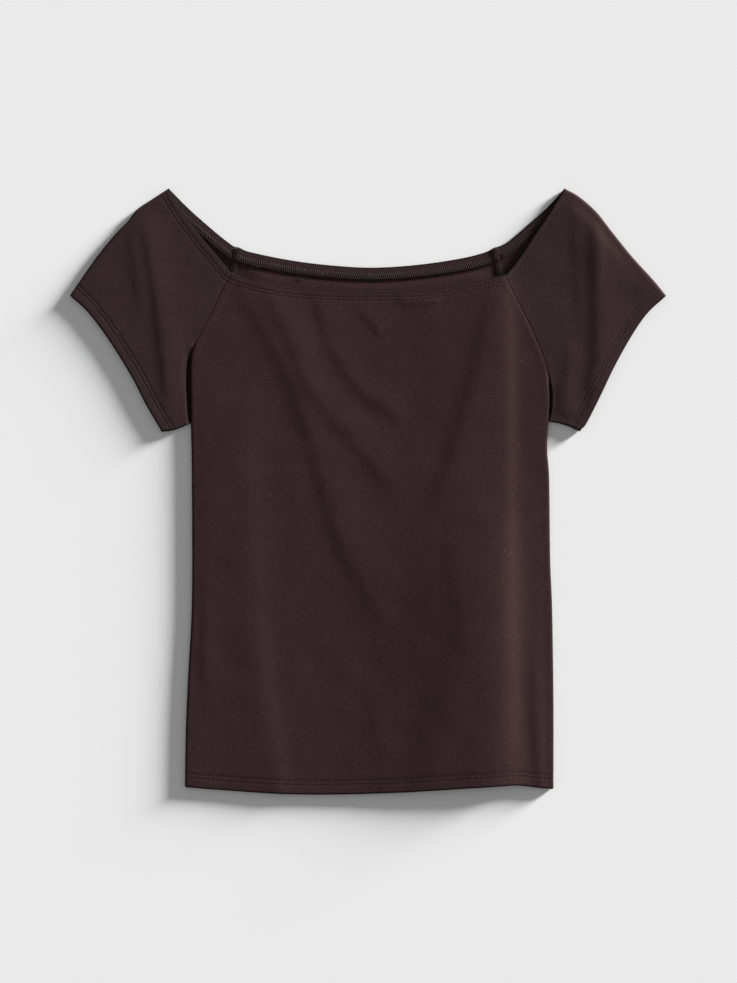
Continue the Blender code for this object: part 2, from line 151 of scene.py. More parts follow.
# How finely each form is divided
CURVE_STEPS = 10
RAGLAN_ROWS = 62
SIDE_ROWS = 142
UNDERARM_ROWS = 8
FRONT_COLUMNS = 150
BACK_COLUMNS = 78
SLEEVE_TOP_COLUMNS = 44
TRENCH_COLUMNS = 22
TRENCH_SHARE = 0.075         # the columns are close together over this share of a sleeve's width, at its seam
SLEEVE_BACK_COLUMNS = 26
ROLL_STEPS = 8
FOLD_STEPS = 10
HEM_TURN_STEPS = 6
SHARP_ANGLE = math.radians(55)

# Corners of the flat garment, x and y, for the wearer's right (-X) and left (+X)
Corners = namedtuple("Corners", "peak neck_front neck_back tip cuff underarm hem")
CORNERS = {
    "right": Corners(
        peak=(-0.2139, 0.3255), neck_front=(-0.1462, 0.2346), neck_back=(-0.1419, 0.2626),
        tip=(-0.3204, 0.2099), cuff=(-0.2225, 0.0637), underarm=(-0.1903, 0.0728), hem=(-0.1967, -0.3179)),
    "left": Corners(
        peak=(0.2107, 0.3255), neck_front=(0.1462, 0.2325), neck_back=(0.1387, 0.2626),
        tip=(0.3204, 0.2099), cuff=(0.2279, 0.0640), underarm=(0.1940, 0.0750), hem=(0.1992, -0.3198)),
}

# Points that each edge passes on its way between two corners, x and y
Edges = namedtuple("Edges", "neck_front neck_back shoulder cuff underarm raglan_front raglan_back side")
EDGES = {
    "right": Edges(
        neck_front=[(-0.1602, 0.2515), (-0.1785, 0.2730), (-0.1989, 0.3002)],
        neck_back=[(-0.1602, 0.2766), (-0.1903, 0.3024)],
        shoulder=[(-0.2311, 0.3142), (-0.2483, 0.3023), (-0.2585, 0.2894), (-0.2720, 0.2755),
                  (-0.2913, 0.2518), (-0.3064, 0.2303)],
        cuff=[(-0.2387, 0.0916), (-0.2548, 0.1228), (-0.2795, 0.1626), (-0.3021, 0.1927)],
        underarm=[(-0.2086, 0.0655)],
        raglan_front=[(-0.1548, 0.2215), (-0.1677, 0.1938), (-0.1817, 0.1669), (-0.1893, 0.1500),
                      (-0.1909, 0.1280), (-0.1906, 0.1010)],
        raglan_back=[(-0.1520, 0.2130), (-0.1650, 0.1500), (-0.1790, 0.1020)],
        side=[(-0.1892, 0.0120), (-0.1892, -0.1170), (-0.1935, -0.2030), (-0.1957, -0.2570)]),
    "left": Edges(
        neck_front=[(0.1591, 0.2486), (0.1785, 0.2770), (0.1946, 0.3006), (0.2012, 0.3107)],
        neck_back=[(0.1516, 0.2701), (0.1817, 0.2959), (0.1956, 0.3090)],
        shoulder=[(0.2268, 0.3163), (0.2451, 0.3002), (0.2612, 0.2798), (0.2838, 0.2518), (0.3053, 0.2282)],
        cuff=[(0.2344, 0.0720), (0.2494, 0.1013), (0.2645, 0.1325), (0.2838, 0.1669), (0.3010, 0.1916)],
        underarm=[(0.2107, 0.0712)],
        raglan_front=[(0.1591, 0.2067), (0.1709, 0.1841), (0.1806, 0.1626), (0.1881, 0.1443),
                      (0.1938, 0.1228), (0.1951, 0.1000)],
        raglan_back=[(0.1500, 0.2130), (0.1650, 0.1500), (0.1810, 0.1030)],
        side=[(0.1924, 0.0450), (0.1946, 0.0120), (0.1957, -0.0740), (0.1978, -0.1280), (0.1992, -0.2240)]),
}
FRONT_NECK = [(-0.1236, 0.2271), (-0.0914, 0.2206), (-0.0495, 0.2169), (0.0065, 0.2158),
              (0.0540, 0.2165), (0.0828, 0.2206), (0.1215, 0.2282)]
BACK_NECK = [(-0.1279, 0.2572), (-0.0774, 0.2475), (-0.0260, 0.2421), (0.0130, 0.2410),
             (0.0581, 0.2443), (0.1021, 0.2508), (0.1279, 0.2572)]
HEM_LINE = [(-0.1548, -0.3212), (-0.0903, -0.3252), (-0.0258, -0.3255), (0.0387, -0.3233),
            (0.0903, -0.3201), (0.1419, -0.3169), (0.1613, -0.3158), (0.1806, -0.3179)]

# Where the front raglan seam starts to sink beside the body, from the neck, and over what length
SINK_START = {"right": 0.080, "left": 0.112}
SINK_LENGTH = 0.030
BACK_SINK_LENGTH = 0.022
# A sleeve lies lower beside its sunk seam: a gentle fall towards it, and a narrow trench right at it that
# holds its depth for a little way before it rises
Crevice = namedtuple("Crevice", "fall width trench hold")
CREVICES = {"right": Crevice(0.0001, 0.030, 0.0014, 0.0060), "left": Crevice(0.0003, 0.020, 0.0009, 0.0014)}
TRENCH_SLOPE = 0.0008
TRENCH_FLOOR = 0.0017        # a sleeve never sinks deeper than this beside its seam
TRENCH_TURN = 0.85 * math.pi     # the trench widens and narrows down the seam as a sine does over this angle
TRENCH_TAPER = 1.4           # and its ends are sharper by this power
TRENCH_SHADE = 0.35          # painted shade: the colour in it is darkened to this share, standing in for its shadow
TRENCH_RIM = (0.0008, 0.0021)    # where that shade starts to fade, and where it ends
SIDE_RIM = 0.0008            # painted shade on the body's own rolled edge, toning down its highlight, starts this far up that fade

# Below its neck hem the back bulges up a little into the opening, away from the raglan seams
BULGE_RISE = 0.0010
BULGE_START = 0.0132
BULGE_SLOPE = 0.0085
BULGE_END = 0.0450
BULGE_FALL = 0.0250
BULGE_SIDE = 0.0260
BULGE_START_SIDE = 0.3       # share of that width beside the seams that stays flat

# Seam allowances of the raglan and side seams: cloth that lies doubled below the body's edge
ALLOWANCE_WIDTH = 0.0060
ALLOWANCE_RISE = 0.00012
ALLOWANCE_SLOPE = 0.0026
SEAM_PRESS = 0.00011         # how far a seam pulls both edges in, and over what width
SEAM_PRESS_WIDTH = 0.0011

# Creases of the layer on top. The cloth to the left of a line, walking along it, rises over about the width
# and sinks back over the spread. The key is low, so a rise towards it reads as a dark line, and a fall as a
# bright one.
DIP = 0.0012
SIDE_HOLD = 0.014
HEM_HOLD = 0.020
CREASE_TAPER = 0.28
Crease = namedtuple("Crease", "rise width spread line")
CREASES = {
    "right_breast": Crease(0.00090, 0.0080, 0.034, [
        (-0.1500, 0.2500), (-0.1360, 0.2067), (-0.0989, 0.1400), (-0.0720, 0.0723), (-0.0495, -0.0083),
        (-0.0290, -0.0685), (0.0043, -0.1287), (0.0220, -0.1600)]),
    "right_breast_inner": Crease(0.00075, 0.0075, 0.028, [
        (-0.1300, 0.2550), (-0.1140, 0.2142), (-0.0870, 0.1604), (-0.0602, 0.0992), (-0.0150, 0.0454),
        (0.0247, -0.0008), (0.0450, -0.0220)]),
    "upper_middle": Crease(0.00066, 0.0064, 0.024, [
        (-0.0720, 0.2450), (-0.0591, 0.2034), (-0.0419, 0.1529), (-0.0118, 0.1067), (0.0247, 0.0798),
        (0.0480, 0.0700)]),
    "left_breast": Crease(0.00095, 0.0080, 0.036, [
        (0.1370, 0.2550), (0.1258, 0.2002), (0.1118, 0.1336), (0.0892, 0.0529), (0.0720, -0.0008),
        (0.0600, -0.0450)]),
    "left_waist": Crease(0.00040, 0.0080, 0.026, [
        (0.0900, 0.0050), (0.0849, -0.0685), (0.0940, -0.1400), (0.0960, -0.1900)]),
    "low_middle": Crease(0.00042, 0.0095, 0.028, [
        (-0.0120, -0.1800), (0.0043, -0.2502), (0.0108, -0.3104), (0.0150, -0.3800)]),
    "low_inner": Crease(0.00048, 0.0095, 0.026, [
        (0.0630, -0.1850), (0.0581, -0.2696), (0.0473, -0.3158), (0.0400, -0.3800)]),
    "low_outer": Crease(0.00036, 0.0090, 0.026, [
        (0.0880, -0.1450), (0.0785, -0.2362), (0.0688, -0.2889), (0.0600, -0.3500)]),
    "right_edge": Crease(0.00035, 0.0050, 0.020, [
        (-0.1780, -0.0900), (-0.1785, -0.1700), (-0.1780, -0.2500)]),
    "left_length": Crease(0.00170, 0.0068, 0.110, [
        (0.1600, -0.4600), (0.1575, -0.2500), (0.1555, -0.1000), (0.1545, 0.0500), (0.1537, 0.1500),
        (0.1500, 0.2350), (0.1450, 0.2900)]),
    "left_length_low": Crease(0.00440, 0.0210, 0.120, [
        (0.1600, -0.6000), (0.1560, -0.3400), (0.1545, -0.2200), (0.1545, -0.1000), (0.1550, 0.0800)]),
    "left_valley": Crease(0.00070, 0.0050, 0.014, [
        (0.1740, -0.1300), (0.1752, -0.2137), (0.1774, -0.2670), (0.1830, -0.3158), (0.1900, -0.3700)]),
    "right_length": Crease(0.00080, 0.0120, 0.050, [
        (-0.0750, -0.4200), (-0.0892, -0.2964), (-0.1032, -0.2362), (-0.1161, -0.0954), (-0.1226, 0.0658),
        (-0.1210, 0.1400)]),
    "right_length_low": Crease(0.00050, 0.0080, 0.030, [
        (-0.0760, -0.3800), (-0.0880, -0.3100), (-0.0978, -0.2550), (-0.1080, -0.1700),
        (-0.1130, -0.1000)]),
    "under_neck_hem": Crease(0.00050, 0.0028, 0.010, [
        (0.0250, 0.2010), (0.0520, 0.2004), (0.0830, 0.2020)]),
    "neck_bump": Crease(0.00035, 0.0036, 0.012, [
        (-0.0200, 0.1980), (0.0020, 0.1800), (0.0110, 0.1620)]),
    "right_sleeve_outer": Crease(0.00060, 0.0055, 0.022, [
        (-0.2640, 0.2960), (-0.2580, 0.2744), (-0.2505, 0.2206), (-0.2450, 0.1800)]),
    "right_sleeve": Crease(0.00090, 0.0046, 0.022, [
        (-0.2500, 0.3100), (-0.2408, 0.2680), (-0.2322, 0.2163), (-0.2258, 0.1626), (-0.2204, 0.1131),
        (-0.2180, 0.0700)]),
    "left_sleeve_inner": Crease(0.00042, 0.0052, 0.018, [
        (0.2150, 0.3250), (0.2193, 0.2873), (0.2225, 0.2142), (0.2230, 0.1700)]),
    "left_sleeve": Crease(0.00120, 0.0060, 0.028, [
        (0.2395, 0.3050), (0.2397, 0.2540), (0.2408, 0.1529), (0.2365, 0.1150), (0.2320, 0.0650)]),
    "left_sleeve_crest": Crease(0.00055, 0.0040, 0.016, [
        (0.2500, 0.2050), (0.2530, 0.2500), (0.2505, 0.2750), (0.2440, 0.3050)]),
    "left_sleeve_low": Crease(0.00060, 0.0055, 0.015, [
        (0.2145, 0.1680), (0.2118, 0.1410), (0.2086, 0.0980), (0.2060, 0.0650)]),
    "left_sleeve_rim": Crease(0.00055, 0.0080, 0.040, [
        (0.3200, 0.1960), (0.2780, 0.2461), (0.2555, 0.2741), (0.2394, 0.2945), (0.2210, 0.3106),
        (0.1950, 0.3350)]),
}

# Unevenness that every laid jersey has: a sum of gentle waves
WAVE_SEED = 7
WAVE_COUNT = 26
WAVE_HEIGHT = 0.000014
WAVE_LENGTHS = (0.025, 0.080)

# Finishes, in linear colour
BODY_COLOUR = (0.0325, 0.0164, 0.0169, 1)
SLEEVE_COLOUR = (0.0316, 0.0175, 0.0176, 1)
THREAD_COLOUR = (0.0220, 0.0130, 0.0134, 1)
LOOPER_COLOUR = (0.0258, 0.0157, 0.0160, 1)
THREAD_SHADES = (0.55, 1.45)
THREAD_TWIST = 1500.0
THREAD_BUMP = 0.00008
FLOOR_SHADES = (0.99, 1)
FLOOR_MOTTLE = 3.0
JERSEY_SPECULAR = 0.05
JERSEY_SHEEN = 0.02
SHEEN_TINT = (0.80, 0.66, 0.66, 1)

# Knit of the jersey: the size of a stitch, and the shares of its slanting legs and of its ridges
WALE_PITCH = 0.0007
COURSE_PITCH = 0.00055
LEG_SHARE = 0.35
RIDGE_SHARE = 0.65
# How its colour varies: noises, with how often each repeats across and down, its detail and its share
Streak = namedtuple("Streak", "scale detail share")
STREAKS = {
    "courses": Streak((190, 1000, 1), 2.0, 0.34),
    "wales": Streak((900, 60, 1), 1.0, 0.12),
    "heather": Streak((900, 900, 1), 2.0, 0.48),
    "clouds": Streak((16, 16, 1), 2.0, 0.06),
}
STREAK_ROUGHNESS = 0.6
STREAK_GAIN = 0.85
STREAK_SWING = 4.0
# Specks of lint: cells to a metre, the share of them that stay empty, the radius in a cell, and the colour
LINT_SCALE = 170.0
LINT_RARITY = 0.975
LINT_RADIUS = 0.11
LINT_GAIN = 0.8
LINT_COLOUR = (0.085, 0.062, 0.062, 1)
# Relief and roughness of the knit
HEATHER_HEIGHT = 1.4
COURSE_HEIGHT = 2.2
STITCH_HEIGHT = 0.45
KNIT_BUMP = 0.00005
KNIT_STRENGTH = 0.6
HEATHER_ROUGHNESS = 0.10
JERSEY_ROUGHNESS = 0.83
# Hems: puckers across the stitching, which reach past both needle rows
PUCKER_REACH = 0.0022
PUCKER_PAST = 0.0006
PUCKER_SOFT = 0.0012
PUCKER_NOISE = 260.0
PUCKER_BUMP = 0.00010
PUCKER_STRENGTH = 0.7
# Painted shade on a folded edge: its colour is darkened to tone down the highlight that the low key puts on the
# roll, up to where it fades
NECK_FOLD_SHADE = 0.20
FOLD_SHADE = 0.42
FOLD_RIM = (0.0005, 0.0024)

# UV maps of the cloth: along the knit, from the first hem, from the last hem, and the map of the painted shade in
# a trench and on a rolled side edge
MAPS = ("Cloth", "First", "Last", "Trench")
# Sockets of a colour mix
MIX_FACTOR, MIX_FIRST, MIX_SECOND, MIX_RESULT = 0, 6, 7, 2


def smooth_line(*points):
    """Close points along a smooth curve through the given ones."""
    p = np.array(points, float)
    p = np.vstack([2 * p[0] - p[1], p, 2 * p[-1] - p[-2]])
    t = np.linspace(0, 1, CURVE_STEPS, endpoint=False)[:, None]
    runs = []
    for a, b, c, d in zip(p, p[1:], p[2:], p[3:]):
        run = (c - a) * t + (2 * a - 5 * b + 4 * c - d) * t**2 + (3 * b - a - 3 * c + d) * t**3
        runs.append(b + 0.5 * run)
    return np.vstack([*runs, p[-2]])


def reach(line):
    """Distance of each point of a line from its start."""
    return np.concatenate([[0], np.cumsum(np.linalg.norm(np.diff(line, axis=0), axis=1))])


def at(line, distance):
    """Points of a line at these distances from its start."""
    far = reach(line)
    return np.column_stack([np.interp(distance, far, line[:, k]) for k in range(line.shape[1])])


def left_hand(line, distance):
    """Unit directions in plan, square to the line, towards the left of someone walking along it."""
    step = 0.002
    run = at(line, distance + step) - at(line, distance - step)
    run /= np.linalg.norm(run, axis=1)[:, None]
    return np.column_stack([-run[:, 1], run[:, 0]])


def ease(value):
    """Smooth rise from 0 to 1."""
    share = np.clip(value, 0, 1)
    return share * share * (3 - 2 * share)


def hem_stations(hem):
    """Distances from a hemmed edge of the rows that its two layers share, close together at the needles."""
    turn = WALL / 2 + HEM_ROLL
    close = [needle + step for needle in hem.needles
             for step in np.arange(-NEEDLE_REACH, NEEDLE_REACH + NEEDLE_STEP / 2, NEEDLE_STEP)]
    plain = [far for far in np.arange(turn, hem.depth, HEM_STEP)
             if min(abs(np.array(close) - far)) > NEEDLE_STEP]
    inside = [far for far in close if turn < far < hem.depth - NEEDLE_STEP]
    return np.array(sorted([0, *plain, *inside, hem.depth]))


def distance_to(line, x, y):
    """Distance in plan from each point to a line, positive on its left, and how far along it is, 0 to 1."""
    best = np.full(x.shape, np.inf)
    share = np.zeros(x.shape)
    side = np.ones(x.shape)
    for k, (a, b) in enumerate(zip(line, line[1:])):
        run = b - a
        t = np.clip(((x - a[0]) * run[0] + (y - a[1]) * run[1]) / run.dot(run), 0, 1)
        gap = np.hypot(x - a[0] - t * run[0], y - a[1] - t * run[1])
        share = np.where(gap < best, (k + t) / (len(line) - 1), share)
        side = np.where(gap < best, np.sign(run[0] * (y - a[1]) - run[1] * (x - a[0])), side)
        best = np.minimum(best, gap)
    return best * side, share


def crease_relief(x, y):
    """Height of all creases together at plan points, before anything holds them down."""
    total = np.zeros(x.shape)
    for crease in CREASES.values():
        gap, along = distance_to(smooth_line(*crease.line), x, y)
        taper = ease(along / CREASE_TAPER) * ease((1 - along) / CREASE_TAPER)
        step = (1 + np.tanh(gap / crease.width)) / 2
        total += crease.rise * taper * step * np.exp(-(np.maximum(gap, 0) / crease.spread)**2)
    return total


def waves(x, y):
    """Gentle unevenness of the laid cloth."""
    draw = np.random.default_rng(WAVE_SEED)
    total = np.zeros(x.shape)
    for _ in range(WAVE_COUNT):
        length = draw.uniform(*WAVE_LENGTHS)
        heading = draw.uniform(0, math.pi)
        phase = draw.uniform(0, 2 * math.pi)
        total += np.sin(2 * math.pi * (x * math.cos(heading) + y * math.sin(heading)) / length + phase)
    return total * WAVE_HEIGHT


def top_height(x, y, side_hold, hem_hold):
    """Height of the middle of the layer on top."""
    relief = (crease_relief(x, y) + waves(x, y)) * side_hold
    return TOP_Z + np.where(relief < 0, -DIP * np.tanh(-relief / DIP) * hem_hold, relief)


def raglan_line(side, face):
    """Seam between sleeve and body from the neck to the underarm, on the front or the back."""
    corner = CORNERS[side]
    edge = EDGES[side]
    if face > 0:
        return smooth_line(corner.neck_front, *edge.raglan_front, corner.underarm)
    return smooth_line(corner.neck_back, *edge.raglan_back, corner.underarm)


def raglan_rows(line):
    """Distances down a raglan seam from the neck edge to the underarm."""
    hem = hem_stations(NECK_HEM)
    return np.concatenate([hem, np.linspace(hem[-1], reach(line)[-1], RAGLAN_ROWS + 1)[1:]])


def raglan_bend(side, face, line, distance):
    """How far the seam's edges roll under, from 0 for flush to 1 for a quarter turn."""
    if face > 0:
        return ease((distance - SINK_START[side]) / SINK_LENGTH)
    return ease((distance - reach(line)[-1] + BACK_SINK_LENGTH) / BACK_SINK_LENGTH)


def closing_rows(line, hem, steps):
    """Distances along a seam that starts at the underarm and ends at a hemmed edge, without the start."""
    end = reach(line)[-1]
    return np.concatenate([np.linspace(0, end - hem.depth, steps + 1)[1:], end - hem_stations(hem)[-2::-1]])


# One edge of a layer: plan points of the middle of its wall, outward directions, and how far it rolls under
Edge = namedtuple("Edge", "plan out bend")


def body_edge(side, face):
    """Edge of the front or back from the neck corner down the raglan and side seams to the hem."""
    outward = 1 if side == "left" else -1
    raglan = raglan_line(side, face)
    seam = smooth_line(CORNERS[side].underarm, *EDGES[side].side, CORNERS[side].hem)
    down = raglan_rows(raglan)
    on = closing_rows(seam, BODY_HEM, SIDE_ROWS)
    out = outward * np.vstack([left_hand(raglan, down), left_hand(seam, on)])
    bend = np.concatenate([raglan_bend(side, face, raglan, down), np.ones(len(on))])
    rolled = np.sin(bend * math.pi / 2)[:, None]
    plan = np.vstack([at(raglan, down), at(seam, on)]) - out * (GAP / 2 * (1 - rolled) + WALL / 2 * rolled)
    return Edge(plan, out, bend)


def sleeve_edge(side, face):
    """Edge of a sleeve's layer from the neck corner down the raglan and underarm seams to the cuff."""
    outward = -1 if side == "left" else 1
    corner = CORNERS[side]
    raglan = raglan_line(side, face)
    seam = smooth_line(corner.underarm, *EDGES[side].underarm, corner.cuff)
    down = raglan_rows(raglan)
    on = closing_rows(seam, CUFF_HEM, UNDERARM_ROWS)
    square_down = outward * left_hand(raglan, down)
    square_on = outward * left_hand(seam, on)
    bend = np.concatenate([raglan_bend(side, face, raglan, down), np.ones(len(on))])
    rolled = np.sin(bend[:len(down)] * math.pi / 2)[:, None]
    beside = at(raglan, down) - square_down * (GAP / 2 * (1 - rolled) + (GAP + WALL / 2) * rolled)
    below = at(seam, on) - square_on * WALL / 2
    square_down[-1] += square_on[0]
    square_down[-1] /= np.linalg.norm(square_down[-1])
    return Edge(np.vstack([beside, below]), np.vstack([square_down, square_on]), bend)


def shoulder_fold(side):
    """Line on which a sleeve's top fold turns, with a point for each row, and its outward directions."""
    outward = 1 if side == "left" else -1
    corner = CORNERS[side]
    line = smooth_line(corner.peak, *EDGES[side].shoulder, corner.tip)
    end = reach(line)[-1]
    seam = reach(raglan_line(side, 1))[-1] - NECK_HEM.depth
    rest = reach(smooth_line(corner.underarm, *EDGES[side].underarm, corner.cuff))[-1] - CUFF_HEM.depth
    share = np.concatenate([np.linspace(0, seam, RAGLAN_ROWS + 1)[1:],
                            seam + np.linspace(0, rest, UNDERARM_ROWS + 1)[1:]]) / (seam + rest)
    middle = NECK_HEM.depth + share * (end - NECK_HEM.depth - CUFF_HEM.depth)
    distance = np.concatenate([hem_stations(NECK_HEM), middle, end - hem_stations(CUFF_HEM)[-2::-1]])
    out = outward * left_hand(line, distance)
    return at(line, distance) - out * (FOLD_ROLL + WALL / 2), out


def patch(first_side, last_side, first_row, last_row, u):
    """Plan points of a four-sided piece with columns at these shares of its width.

    Rows run from side to side, and the end rows bow as the given lines do.
    """
    walked = (reach(first_side) / reach(first_side)[-1] + reach(last_side) / reach(last_side)[-1]) / 2
    v = walked[:, None, None]
    bows = []
    for line in (first_row, last_row):
        across = at(line, u * reach(line)[-1])
        chord = across[0] + u[:, None] * (across[-1] - across[0])
        bows.append((across - chord)[None])
    u = u[None, :, None]
    return first_side[:, None] * (1 - u) + last_side[:, None] * u + bows[0] * (1 - v) + bows[1] * v


def roll_columns(edge):
    """Strip that rolls under along an edge, from where it is flat: plan points, and how far they drop."""
    turn = np.maximum(edge.bend, LEAST_BEND) * math.pi / 2
    radius = ROLL_LENGTH / turn
    tilt = turn[:, None] * np.linspace(0, 1, ROLL_STEPS + 1)
    ahead = radius[:, None] * (np.sin(tilt) - np.sin(turn)[:, None])
    plan = edge.plan[:, None] + edge.out[:, None] * ahead[..., None]
    return plan, radius[:, None] * (1 - np.cos(tilt))


def off_edge(edge, plan):
    """Distance in plan of each point of a layer from its row's end on an edge."""
    return np.linalg.norm(plan - edge.plan[:, None], axis=-1)


def hold_near(edge, plan):
    """How much of a fold is left beside an edge: all where the edge is flush, none where it rolls under."""
    return 1 - edge.bend[:, None] * (1 - ease((off_edge(edge, plan) - SIDE_ROLL) / SIDE_HOLD))


def hold_at_hems(edge, first, last):
    """How much of a trough is left on each row: none on the rows of a hem."""
    walked = reach(edge.plan)
    start = ease((walked - first.depth) / HEM_HOLD)
    end = ease((walked[-1] - walked - last.depth) / HEM_HOLD)
    return (start * end)[:, None]


def needle_press(distance, hem):
    """How far the needle rows of a hem pull the outer face in, at these distances from its edge."""
    return sum(NEEDLE_PRESS * np.exp(-((distance - needle) / NEEDLE_PRESS_WIDTH)**2)
               for needle in hem.needles)


def allowance_rise(edge, plan):
    """Rise of the cloth over the seam allowance beside an edge, where the edge is flush."""
    gap = off_edge(edge, plan)
    fall = ease((ALLOWANCE_WIDTH + ALLOWANCE_SLOPE - gap) / ALLOWANCE_SLOPE)
    return ALLOWANCE_RISE * ease(gap / ALLOWANCE_SLOPE) * fall * (1 - edge.bend[:, None])


def seam_press(edge, plan):
    """How far the seam at an edge pulls the outer face in, where the edge is flush."""
    return SEAM_PRESS * (1 - ease(off_edge(edge, plan) / SEAM_PRESS_WIDTH)) * (1 - edge.bend[:, None])


def surface_normals(points, face):
    """Outside directions of a grid of points."""
    normals = np.cross(np.gradient(points, axis=0), np.gradient(points, axis=1))
    normals /= np.maximum(np.linalg.norm(normals, axis=-1), 1e-12)[..., None]
    flip = np.sign(normals[..., 2].mean()) * face
    return normals * flip


# Middle points of a layer, outside directions, how far sewing pulls them in, and how far off a trench or rolled
# side edge is, which sets the painted shade there
Layer = namedtuple("Layer", "points normals press trench")


def hem_turn(points, normals, rows):
    """Rows of a hem from its free edge to where its turn meets the cloth, whose rows run from the edge inwards."""
    into = points[1] - points[0]
    into -= normals[0] * (into * normals[0]).sum(-1)[:, None]
    into /= np.linalg.norm(into, axis=-1)[:, None]
    centre = points[0] - HEM_ROLL * normals[0]
    hem_points = [points[k] - LAYER * normals[k] for k in range(rows - 1, -1, -1)]
    hem_normals = [-normals[k] for k in range(rows - 1, -1, -1)]
    for k in range(1, HEM_TURN_STEPS):
        turn = math.pi * (1 - k / HEM_TURN_STEPS)
        outwards = math.cos(turn) * normals[0] - math.sin(turn) * into
        hem_points.append(centre + HEM_ROLL * outwards)
        hem_normals.append(outwards)
    return np.array(hem_points), np.array(hem_normals)


def length_maps(points, first_fold, last_fold):
    """Maps of a grid in metres: across and down the piece, and along and away from each hem's fold."""
    across = np.concatenate([np.zeros((len(points), 1)),
                             np.cumsum(np.linalg.norm(np.diff(points, axis=1), axis=-1), axis=1)], axis=1)
    down = np.concatenate([np.zeros((1, points.shape[1])),
                           np.cumsum(np.linalg.norm(np.diff(points, axis=0), axis=-1), axis=0)])
    centred = across - across[:, -1:] / 2
    first = np.repeat(across[:1], len(points), axis=0)
    last = np.repeat(across[-1:], len(points), axis=0)
    from_first = abs(down - down[first_fold])
    from_last = abs(down - down[last_fold])
    return np.dstack([centred, -down]), np.dstack([first, from_first]), np.dstack([last, from_last])


def mesh_piece(name, points, faces, material, charts=None):
    """A piece from points and faces, with its material and its UV maps, which give a place for each point."""
    mesh = bpy.data.meshes.new(name)
    mesh.from_pydata(points.tolist(), [], faces)
    corners = np.zeros(len(mesh.loops), np.int32)
    mesh.loops.foreach_get("vertex_index", corners)
    for title, chart in (charts or {}).items():
        mesh.uv_layers.new(name=title).data.foreach_set("uv", chart.astype(np.float32)[corners].ravel())
    mesh.materials.append(material)
    piece = bpy.data.objects.new(name, mesh)
    bpy.context.collection.objects.link(piece)
    return piece


def wall_faces(count, width):
    """Faces of a closed wall: a grid of outer points in rows, the same grid of inner points, and the rims."""
    below = count * width
    i, j = np.meshgrid(np.arange(count - 1), np.arange(width - 1), indexing="ij")
    a, b = i * width + j, (i + 1) * width + j
    c, d = b + 1, a + 1
    shell = np.stack([a, b, c, d], axis=-1).reshape(-1, 4)
    lining = np.stack([a, d, c, b], axis=-1).reshape(-1, 4) + below
    i = np.arange(count - 1) * width
    j = np.arange(width - 1)
    rims = []
    for start, end in ((i, i + width), (i + 2 * width - 1, i + width - 1), (j + 1, j),
                       (below - width + j, below - width + j + 1)):
        rims.append(np.stack([end, start, start + below, end + below], axis=-1))
    return np.concatenate([shell, lining, *rims]).tolist()


def cloth_wall(name, cloth, first_hem, last_hem, straight, material):
    """Closed wall on both sides of a layer's middle points, with turned hems at its first and last rows.

    The knit of a straight piece runs along X and Y; otherwise it runs across and down the piece.
    """
    rows = (len(hem_stations(first_hem)) - 1, len(hem_stations(last_hem)) - 1)
    points, normals = cloth.points, cloth.normals
    first, first_out = hem_turn(points, normals, rows[0])
    last, last_out = hem_turn(points[::-1], normals[::-1], rows[1])
    middle = np.concatenate([first, points, last[::-1]])
    out = np.concatenate([first_out, normals, last_out[::-1]])
    added = ((len(first), len(last)), (0, 0))
    press = np.pad(cloth.press, added)
    outer = middle + (WALL / 2 - press)[..., None] * out
    inner = middle - WALL / 2 * out
    folds = (rows[0] - 1 + HEM_TURN_STEPS // 2, -rows[1] - HEM_TURN_STEPS // 2)
    grids = list(length_maps(middle, *folds))
    if straight:
        grids[0] = middle[..., :2]
    # The trench values become the UV map that sets the painted shade in a trench and on a rolled side edge
    trench = np.pad(cloth.trench, added, constant_values=1)
    grids.append(np.dstack([trench, trench]))
    charts = {title: np.concatenate([grid.reshape(-1, 2)] * 2) for title, grid in zip(MAPS, grids)}
    corners = np.concatenate([outer.reshape(-1, 3), inner.reshape(-1, 3)])
    piece = mesh_piece(name, corners, wall_faces(*middle.shape[:2]), material, charts)
    turn_outwards(piece)
    piece.data.shade_smooth()
    piece.data.set_sharp_from_angle(angle=SHARP_ANGLE)
    return piece


def turn_outwards(piece):
    """Makes a closed piece's faces point outwards."""
    bpy.ops.object.select_all(action="DESELECT")
    piece.select_set(True)
    bpy.context.view_layer.objects.active = piece
    bpy.ops.object.mode_set(mode="EDIT")
    bpy.ops.mesh.select_all(action="SELECT")
    bpy.ops.mesh.normals_make_consistent(inside=False)
    bpy.ops.object.mode_set(mode="OBJECT")


